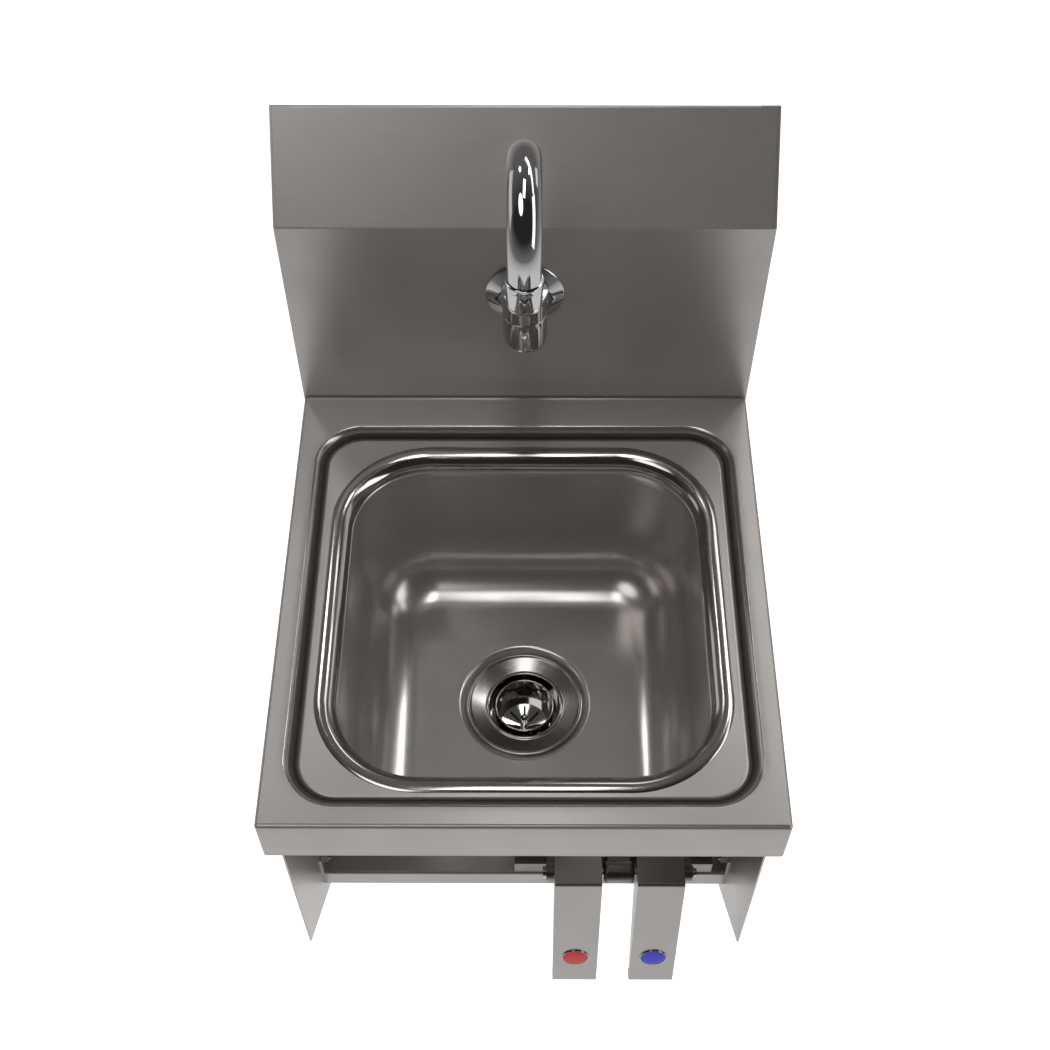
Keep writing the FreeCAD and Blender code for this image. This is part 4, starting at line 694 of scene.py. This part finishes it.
# ---- bowl
@dataclass
class Bowl:
    """The deep drawn bowl: a lip under the rolled edge, walls, a wide foot radius, a round recess."""

    half: tuple[float, float] = (114.0, 115.5)
    corner: float = 52.0
    centre_y: float = -167.6
    depth: float = 127.0
    wall_top: float = -18.0                 # where the wall starts to lean in
    draft: float = 4.0
    foot: float = 38.0
    recess: tuple[float, float, float] = (44.3, 41.0, 4.5)
    hole: float = 32.5
    floor_fall: float = 0.35                # the floor's fall to the drain
    sheet: float = SHEET_MM

    def lean(self, z: Array | float) -> Array | float:
        """How far the wall has leaned in at a height: evenly, from z = -18 down to the floor."""
        return self.draft * (self.wall_top - z) / (self.depth + self.wall_top)

    def mesh(self) -> Mesh:
        """The inner face as loops from the lip down to the drain's hole.

        The wall leans in evenly, the foot is a quarter circle, and the floor falls to the recess by a
        smooth step, 3 t^2 - 2 t^3.

        Returns:
            The mesh, open at the lip and at the hole.
        """
        lip_d = np.array([1.3, 0.6, 0.1, -0.2, -0.35, -0.3, -0.15, 0.0])
        lip_z = np.array([-14.2, -14.25, -14.4, -14.7, -15.3, -16.2, -17.4, -19.0])
        wall_z = np.linspace(-24.0, -self.depth + self.foot + 2.0, 14)
        start = math.atan2(self.draft, self.depth + self.wall_top)
        turn = np.linspace(start, math.pi / 2, 40)
        foot_d = -(self.lean(-self.depth + self.foot) + self.foot * (1 - np.cos(turn)))
        foot_z = -self.depth + self.foot - self.foot * np.sin(turn)
        d = np.concatenate([lip_d, -self.lean(wall_z), foot_d])
        z = np.concatenate([lip_z, wall_z, foot_z])
        hx, hy = self.half[0] + d, self.half[1] + d
        radius = np.maximum(self.corner + d, 1.0)
        upper = ray_loops(hx, hy, radius, z, self.centre_y)
        big, small, drop = self.recess
        ring = rounded(np.array([[big + 7.0, 0.0], [big, 0.0], [small, -drop], [self.hole, -drop]]),
                       np.array([0, 1.6, 1.4, 0]), 7)
        lower = ray_loops(ring[:, 0], ring[:, 0], ring[:, 0] - 1e-6,
                          -self.depth - self.floor_fall + ring[:, 1], self.centre_y)
        share = np.linspace(0, 1, 14)[1:-1][:, None, None]
        floor = upper[-1:] + (lower[:1] - upper[-1:]) * share
        smooth = share[:, :, 0] ** 2 * (3 - 2 * share[:, :, 0])
        floor[:, :, 2] = upper[-1, 0, 2] - self.floor_fall * smooth
        loops = np.concatenate([upper, floor, lower])
        return crease(grid_mesh("bowl", to_row(loops), True, False, flip=True), 40)

    def build(self, shop: Workshop) -> None:
        """Builds and dresses the bowl."""
        piece = shop.fit("drawn_bowl", self.mesh(), "sink", [Finish.BOWL], ("bowl",))
        thicken(piece, self.sheet)


# ---- drain
@dataclass
class Drain:
    """The strainer body: rounded lip, turned dish, bright ring, throat, neck and outlet."""

    centre: tuple[float, float, float] = (0.0, -167.6, 0.0)
    lip_r: float = 40.2
    lip_z: float = -127.5
    dish_z: float = -131.2
    ring_r: float = 25.6
    throat: float = 24.4
    ledge_z: float = -160.0
    segments: int = 160

    def mesh(self) -> Mesh:
        """The turned profile, with its edges broken by small radii.

        Returns:
            The mesh, with material numbers 0 for the dish and 1 for the polished rest.
        """
        corners = np.array([
            (self.lip_r, -131.2), (self.lip_r, self.lip_z), (self.lip_r - 2.4, self.lip_z + 0.05),
            (self.lip_r - 3.1, self.lip_z - 0.9), (self.ring_r + 1.5, self.dish_z),
            (self.ring_r + 0.9, self.dish_z + 0.15), (self.ring_r + 0.3, self.dish_z + 0.95),
            (self.throat + 0.2, self.dish_z + 0.8), (self.throat, self.dish_z + 0.1),
            (self.throat, self.ledge_z), (18.5, self.ledge_z), (18.5, -161.5), (17.5, -162.5),
            (17.5, -180.0), (22.0, -180.0), (22.0, -167.0), (28.5, -163.0), (28.5, -132.6),
            (31.5, -132.1), (31.5, -131.2)])
        radii = np.array([0, 0.9, 0.7, 0.5, 0.5, 0.25, 0.45, 0.35, 0.2, 0.3, 0.3, 0.3, 0.3, 0.4, 0.4,
                          0.4, 0.4, 0.1, 0.1, 0.1])
        line = rounded(corners, radii, 7)
        mesh = turned("drain_flange", line, np.array(self.centre), "z", self.segments)
        middle = (line + np.roll(line, -1, 0)) / 2
        dish = (middle[:, 0] > self.ring_r + 1.2) & (middle[:, 1] > -131.6)
        kinds = np.repeat(np.where(dish, 0, 1), self.segments)
        mesh.polygons.foreach_set("material_index", kinds.astype(np.int32))
        return crease(mesh, 35)

    def build(self, shop: Workshop) -> None:
        """Builds and dresses the strainer body."""
        shop.fit("strainer_body", self.mesh(), "sink",
                 [Finish.TURNED, Finish.POLISHED], ("drain_flange",))


# ---- faucet
class Axis(Enum):
    """The faucet's axes: its upright, the spout's tip, and the shank through the splash."""

    UPRIGHT = "upright"
    TIP = "tip"
    SHANK = "shank"


@dataclass
class Faucet:
    """Escutcheon, body with its threaded shank, bonnet, bent spout, aerator ring and aerator shell."""

    axis_y: float = -27.0
    hole_z: float = 102.5
    arch_r: float = 34.0
    arch_z: float = 218.0
    foot_z: float = 108.7
    tip_z: float = 199.5
    tube_r: float = 9.525
    tube_wall: float = 1.2
    body_r: float = 13.8
    segments: int = 96                      # faces round the tube

    def spout_mesh(self) -> Mesh:
        """The bent tube: a circle carried up, over a half circle and down, outside and then inside.

        Along the path (y, z) the section's point at angle a is centre + r (cos a x + sin a n), where n is
        the path's normal in its own plane.

        Returns:
            The mesh, closed over both ends of the wall.
        """
        turn = np.linspace(0, math.pi, 97)
        up = np.linspace(self.foot_z, self.arch_z, 12)[:-1]
        down = np.linspace(self.arch_z, self.tip_z, 8)[1:]
        rise, fall = np.zeros(len(up)), np.ones(len(down))
        y = np.r_[rise, -self.arch_r + self.arch_r * np.cos(turn), -2 * self.arch_r * fall]
        z = np.r_[up, self.arch_z + self.arch_r * np.sin(turn), down]
        normal = np.r_[rise, turn, math.pi * fall]
        ny, nz = np.cos(normal), np.sin(normal)
        angle = np.linspace(0, 2 * math.pi, self.segments, endpoint=False)[None]

        def skin(r: float) -> Array:
            """One skin of the tube, of radius r."""
            return np.stack([np.broadcast_to(r * np.cos(angle), (len(y), self.segments)),
                             (y + self.axis_y)[:, None] + r * np.sin(angle) * ny[:, None],
                             z[:, None] + r * np.sin(angle) * nz[:, None]], -1)

        rings = np.concatenate([skin(self.tube_r), skin(self.tube_r - self.tube_wall)[::-1]])
        return crease(grid_mesh("spout_tube", to_row(rings), True, True), 50)

    def turned_piece(self, name: str, axis: Axis, corners: list[tuple[float, float]],
                     cuts: list[float]) -> Mesh:
        """A turned piece on one of the faucet's axes.

        Args:
            name: the mesh's name.
            axis: the axis.
            corners: the closed outline, as radius and place along the axis.
            cuts: how far each corner's rounding starts from it.

        Returns:
            The mesh.
        """
        centre = {Axis.UPRIGHT: (0.0, self.axis_y, 0.0), Axis.SHANK: (0.0, 0.0, self.hole_z),
                  Axis.TIP: (0.0, self.axis_y - 2 * self.arch_r, 0.0)}[axis]
        line = rounded(np.array(corners), np.array(cuts), 7)
        return crease(turned(name, line, np.array(centre), "y" if axis is Axis.SHANK else "z"), 35)

    def build(self, shop: Workshop) -> None:
        """Builds and dresses the faucet."""
        r = self.body_r
        thread = np.arange(-6.6, 15.4, 0.67)
        teeth = [(10.3 if i % 2 else 9.7, float(y)) for i, y in enumerate(thread)]
        shank = [(5.5, 16.0), (5.5, -6.9), (10.3, -7.0), *teeth, (10.0, 16.0)]
        shop.fit("spout_tube", self.spout_mesh(), "spout", [Finish.CHROME], ("gooseneck",))
        # piece, body, node that it stands for, axis, outline, roundings
        for name, body, node, axis, corners, cuts in (
                ("aerator_collar", "spout", "aerator_ring", Axis.TIP,
                 [(9.6, 204.5), (10.7, 204.5), (10.7, 208.0), (9.6, 208.0)], [0.1, 0.3, 0.8, 0.1]),
                ("aerator_housing", "spout", "aerator_shell", Axis.TIP,
                 [(9.0, 188.9), (9.8, 188.9), (9.86, 190.6), (9.6, 190.9), (9.88, 191.2),
                  (10.3, 204.2), (9.62, 204.3), (9.0, 199.0)],
                 [0.1, 0.4, 0.1, 0.1, 0.1, 0.3, 0.1, 0.1]),
                ("bonnet_cap", "sink", "bonnet", Axis.UPRIGHT,
                 [(9.6, 113.8), (r, 113.8), (r, 130.3), (r + 0.8, 130.4), (r + 0.8, 133.0),
                  (9.6, 133.0)], [0.1, 0.5, 0.2, 0.3, 0.9, 0.4]),
                ("faucet_upright", "sink", "faucet_body", Axis.UPRIGHT,
                 [(0.0, 87.4), (r, 87.4), (r, 113.4), (0.0, 113.4)], [0.0, 5.5, 0.5, 0.0]),
                ("faucet_shank", "sink", "", Axis.SHANK, shank, [0.05] * len(shank)),
                ("faucet_hub", "sink", "", Axis.SHANK,
                 [(0.0, -24.0), (10.9, -24.0), (10.9, -7.3), (0.0, -7.3)], [0, 0.3, 0.4, 0]),
                ("escutcheon_shell", "sink", "escutcheon", Axis.SHANK,
                 [(10.6, -0.4), (25.1, -0.4), (25.1, -1.7), (15.4, -7.0), (10.6, -7.0)],
                 [0.1, 0.2, 0.9, 2.4, 0.3])):
            shop.fit(name, self.turned_piece(name, axis, corners, cuts), body,
                     [Finish.CHROME], (node,) if node else ())


# ---- pedals' index discs
@dataclass
class IndexDisc:
    """A domed enamel disc in a thin bright bezel, on a pedal's sloping face."""

    side: str
    finish: Finish
    foot: tuple[float, float, float]        # middle of the face's lower end
    rise: float = 36.3                      # up the face from its lower end
    radius: float = 10.3
    thick: float = 1.6
    lean: float = math.atan2(21.0, 137.0)
    segments: int = 96

    def build(self, shop: Workshop) -> None:
        """Builds the disc in the place of its node, with its axis square to the face."""
        node = f"{self.side}_index"
        out = np.array([0.0, -math.cos(self.lean), math.sin(self.lean)])
        up = np.array([0.0, math.sin(self.lean), math.cos(self.lean)])
        middle = to_row(np.array(self.foot) + up * self.rise)
        r, h = self.radius, self.thick
        bezel = rounded(np.array([[r - 1.6, 0.0], [r, 0.0], [r, 0.8], [r - 0.5, 1.1],
                                  [r - 0.7, 0.9]]), np.array([0, 0.1, 0.35, 0.2, 0.1]), 6)
        spread = np.linspace(0, 1, 20)
        dome = np.stack([(r - 0.7) * np.cos(spread * math.pi / 2),
                         0.9 + (h - 0.9) * np.sin(spread * math.pi / 2)], 1)[:-1]
        line = np.concatenate([bezel, dome[1:], [[0.0, h]], [[0.0, 0.0]]])
        angle = np.linspace(0, 2 * math.pi, self.segments, endpoint=False)
        beside = np.array([1.0, 0.0, 0.0])
        radius = np.maximum(line[:, :1], POLE)
        rings = (middle + MM * (radius * np.cos(angle))[..., None] * beside
                 + MM * (radius * np.sin(angle))[..., None] * up
                 + MM * line[:, 1][:, None, None] * out)
        mesh = grid_mesh(node, rings, True, True)
        count = len(line)
        rows = np.repeat(np.arange(count), self.segments)
        enamel = (rows >= len(bezel) - 1) & (rows < count - 1)
        mesh.polygons.foreach_set("material_index", enamel.astype(np.int32))
        shop.fit(f"{self.side}_disc", crease(mesh, 40), f"{self.side}_pedal",
                 [Finish.POLISHED, self.finish],
                 (node,))


# ---- studio
@dataclass
class Studio:
    """White floor and surround, soft lamps, a glowing tent that only the metal sees and that paints its
    reflections, and the camera.
    """

    floor_z: float = -1.03
    frame_px: float = 1050.0
    focal_px: float = 1480.308
    sensor: float = 36.0                    # mm
    pitch: float = 53.992
    yaw: float = -0.243
    roll: float = -0.0887
    eye: tuple[float, float, float] = (0.002654, -0.722388, 0.610302)

    def camera(self) -> None:
        """The photograph's camera: a square frame of 1050 pixels, from in front and above."""
        pitch, yaw, roll = (math.radians(a) for a in (self.pitch, self.yaw, self.roll))
        ahead = np.array([math.sin(yaw) * math.cos(pitch), math.cos(yaw) * math.cos(pitch),
                          -math.sin(pitch)])
        right = np.array([math.cos(yaw), -math.sin(yaw), 0.0])
        up = np.cross(right, ahead)
        level = math.cos(roll) * right + math.sin(roll) * up
        upright = -math.sin(roll) * right + math.cos(roll) * up
        place = np.eye(4)
        place[:3, 0], place[:3, 1], place[:3, 2], place[:3, 3] = level, upright, -ahead, self.eye
        data = bpy.data.cameras.new("photo_camera")
        data.sensor_width, data.lens = self.sensor, self.focal_px * self.sensor / self.frame_px
        data.clip_start, data.clip_end = 0.01, 50.0
        camera = add_object("photo_camera", data)
        camera.matrix_world = Matrix(place.tolist())
        bpy.context.scene.camera = camera

    def seen(self, tree: NodeTree) -> object:
        """1 for camera, glossy and transmission rays, 0 for the rest.

        Args:
            tree: the node tree.

        Returns:
            The output socket.
        """
        path = add_node(tree, "ShaderNodeLightPath")
        two = add_node(tree, "ShaderNodeMath", links={0: path.outputs["Is Camera Ray"],
                                                      1: path.outputs["Is Glossy Ray"]}, operation="ADD")
        return add_node(tree, "ShaderNodeMath", links={0: two.outputs[0],
                                                       1: path.outputs["Is Transmission Ray"]},
                        operation="ADD", use_clamp=True).outputs[0]

    def world(self, level: float = 0.52) -> None:
        """A white surround that lights the object softly at `level`."""
        world = bpy.data.worlds.new("studio")
        bpy.context.scene.world = world
        world.use_nodes = True
        tree = world.node_tree
        tree.nodes.clear()
        strength = ramp(tree, self.seen(tree), 0.0, 1.0, level, 1.0)
        back = add_node(tree, "ShaderNodeBackground", {"Color": (1, 1, 1, 1)}, {"Strength": strength})
        add_node(tree, "ShaderNodeOutputWorld", links={"Surface": back.outputs[0]})

    def floor(self) -> None:
        """A plain white floor that keeps the object's shadow.

        The metal sees painted light on it: a glow that only glossy rays meet, white under the sink, grey far
        from it.
        """
        side = 30.0
        corners = np.array([[[-side, -side, self.floor_z], [side, -side, self.floor_z]],
                            [[-side, side, self.floor_z], [side, side, self.floor_z]]])
        mesh = grid_mesh("floor", corners, False, False)
        material, tree = blank_material("white_floor_paint")
        path = add_node(tree, "ShaderNodeLightPath")
        place = add_node(tree, "ShaderNodeTexCoord").outputs["Object"]
        middle = add_node(tree, "ShaderNodeVectorMath", {1: (0.0, -0.35, self.floor_z)}, {0: place},
                          operation="DISTANCE").outputs["Value"]
        # painted light for the metal's reflections: a glow that is bright near the sink and fades with
        # distance
        painted_light_pool = add_node(tree, "ShaderNodeEmission", {"Color": (1, 1, 1, 1)},
                        {"Strength": ramp(tree, middle, 0.45, 2.9, 0.88, 0.2)})
        matt = add_node(tree, "ShaderNodeBsdfDiffuse", {"Color": linear("#e6e6e6")})
        glow = add_node(tree, "ShaderNodeEmission", {"Color": (1, 1, 1, 1)},
                        {"Strength": ramp(tree, self.seen(tree), 0.0, 1.0, 0.0, 0.8)})
        lit = add_node(tree, "ShaderNodeAddShader", links={0: matt.outputs[0], 1: glow.outputs[0]})
        both = add_node(tree, "ShaderNodeMixShader", links={
            0: ramp(tree, path.outputs["Is Glossy Ray"], 0.0, 1.0, 0.0, 0.9), 1: lit.outputs[0],
            2: painted_light_pool.outputs[0]})
        add_node(tree, "ShaderNodeOutputMaterial", links={"Surface": both.outputs[0]})
        mesh.materials.append(material)
        add_object("floor", mesh)

    def tent(self) -> None:
        """A glowing half sphere round the set, which only the metal sees: painted reflections, brighter low
        down and towards the rear.

        Its point at angles (a, e) is R (cos e cos a, cos e sin a, sin e) over the sink.
        """
        a = np.linspace(0, 2 * math.pi, 97)[:-1][None]
        e = np.linspace(-0.25, math.pi / 2 - 0.01, 40)[:, None]
        radius = 3.2
        points = np.stack([radius * np.cos(e) * np.cos(a), radius * np.cos(e) * np.sin(a) - 0.2,
                           np.broadcast_to(radius * np.sin(e), np.broadcast(a, e).shape) - 0.3], -1)
        mesh = grid_mesh("studio_tent", points, True, False, flip=True)
        material, tree = blank_material("painted_reflection_tent")
        place = add_node(tree, "ShaderNodeTexCoord").outputs["Object"]
        split = add_node(tree, "ShaderNodeSeparateXYZ", links={0: place})
        # painted reflection: the tent's glow is brighter low down and towards the rear, and only glossy rays
        # see it
        low = ramp(tree, split.outputs[2], -0.9, 0.7, 0.20, 0.0)
        rear = ramp(tree, split.outputs[1], -1.0, 1.6, 0.03, 0.16)
        strength = add_node(tree, "ShaderNodeMath", links={0: low, 1: rear}, operation="ADD").outputs[0]
        glow = add_node(tree, "ShaderNodeEmission", {"Color": linear("#f7f2ee")}, {"Strength": strength})
        add_node(tree, "ShaderNodeOutputMaterial", links={"Surface": glow.outputs[0]})
        mesh.materials.append(material)
        tent = add_object("studio_tent", mesh)
        tent.visible_camera = tent.visible_diffuse = tent.visible_shadow = False

    def direction(self, azimuth: float, elevation: float) -> Array:
        """Unit vector: azimuth 0 is in front, 90 to the right, 180 behind; both angles in degrees."""
        a, e = math.radians(azimuth), math.radians(elevation)
        return np.array([math.sin(a) * math.cos(e), -math.cos(a) * math.cos(e), math.sin(e)])

    def lamp(self, name: str, start: tuple[float, float], end: tuple[float, float], width: float,
             radiance: float, distance: float = 1.7, shape: str = "RECTANGLE") -> None:
        """A soft box between two directions from a point over the bowl, square to their middle.

        Args:
            name: the lamp's name.
            start: azimuth and elevation of one end, in degrees.
            end: azimuth and elevation of the other end.
            width: across that line, in metres.
            radiance: how bright its face is; 1 is white.
            distance: from the point, in metres.
            shape: "RECTANGLE" or "ELLIPSE".
        """
        first, last = self.direction(*start) * distance, self.direction(*end) * distance
        target = np.array([0.0, -0.15, 0.0])
        away = (first + last) / np.linalg.norm(first + last)
        along = (last - first) / np.linalg.norm(last - first)
        data = bpy.data.lights.new(name, "AREA")
        data.shape, data.size, data.size_y = shape, float(np.linalg.norm(last - first)), width
        data.energy = radiance * math.pi * data.size * width * (math.pi / 4 if shape == "ELLIPSE" else 1)
        place = np.eye(4)
        place[:3, 0], place[:3, 1], place[:3, 2] = along, np.cross(away, along), away
        place[:3, 3] = target + (first + last) / 2
        add_object(name, data).matrix_world = Matrix(place.tolist())

    def build(self) -> None:
        """Sets up the studio."""
        self.camera()
        self.world()
        self.floor()
        self.tent()
        self.lamp("left_box", (-80, 62), (-20, 52), 0.75, 2.0, shape="ELLIPSE")
        self.lamp("left_panel", (-132, 8), (-92, 2), 0.7, 0.55)
        self.lamp("right_front_strip", (54, -4), (94, 38), 0.5, 2.2)
        self.lamp("right_rear_strip", (96, 38), (176, 40), 0.24, 2.0)
        self.lamp("right_panel", (116, 14), (134, 14), 0.4, 0.8)
        self.lamp("top_box", (-100, 84), (85, 84), 0.46, 4.2, 1.0)
        self.lamp("left_rear_box", (-152, 52), (-140, 52), 0.3, 7.5, shape="ELLIPSE")
        self.lamp("right_rear_box", (132, 52), (146, 52), 0.32, 8.5, shape="ELLIPSE")
        scene = bpy.context.scene
        scene.view_settings.view_transform = "Standard"


def main() -> None:
    """Builds the pieces in order."""
    logging.basicConfig(level=logging.INFO, format="%(name)s %(message)s")
    Studio().build()
    shop = Workshop()
    shop.dress_frame()
    hot = IndexDisc("hot", Finish.RED, (38.65, -281.0, -363.5))
    cold = IndexDisc("cold", Finish.BLUE, (97.75, -281.0, -363.5))
    for part in (SinkTop(), Bowl(), Drain(), Faucet(), hot, cold):
        part.build(shop)
        log.info("built %s", type(part).__name__)


if __name__ == "__main__":
    main()
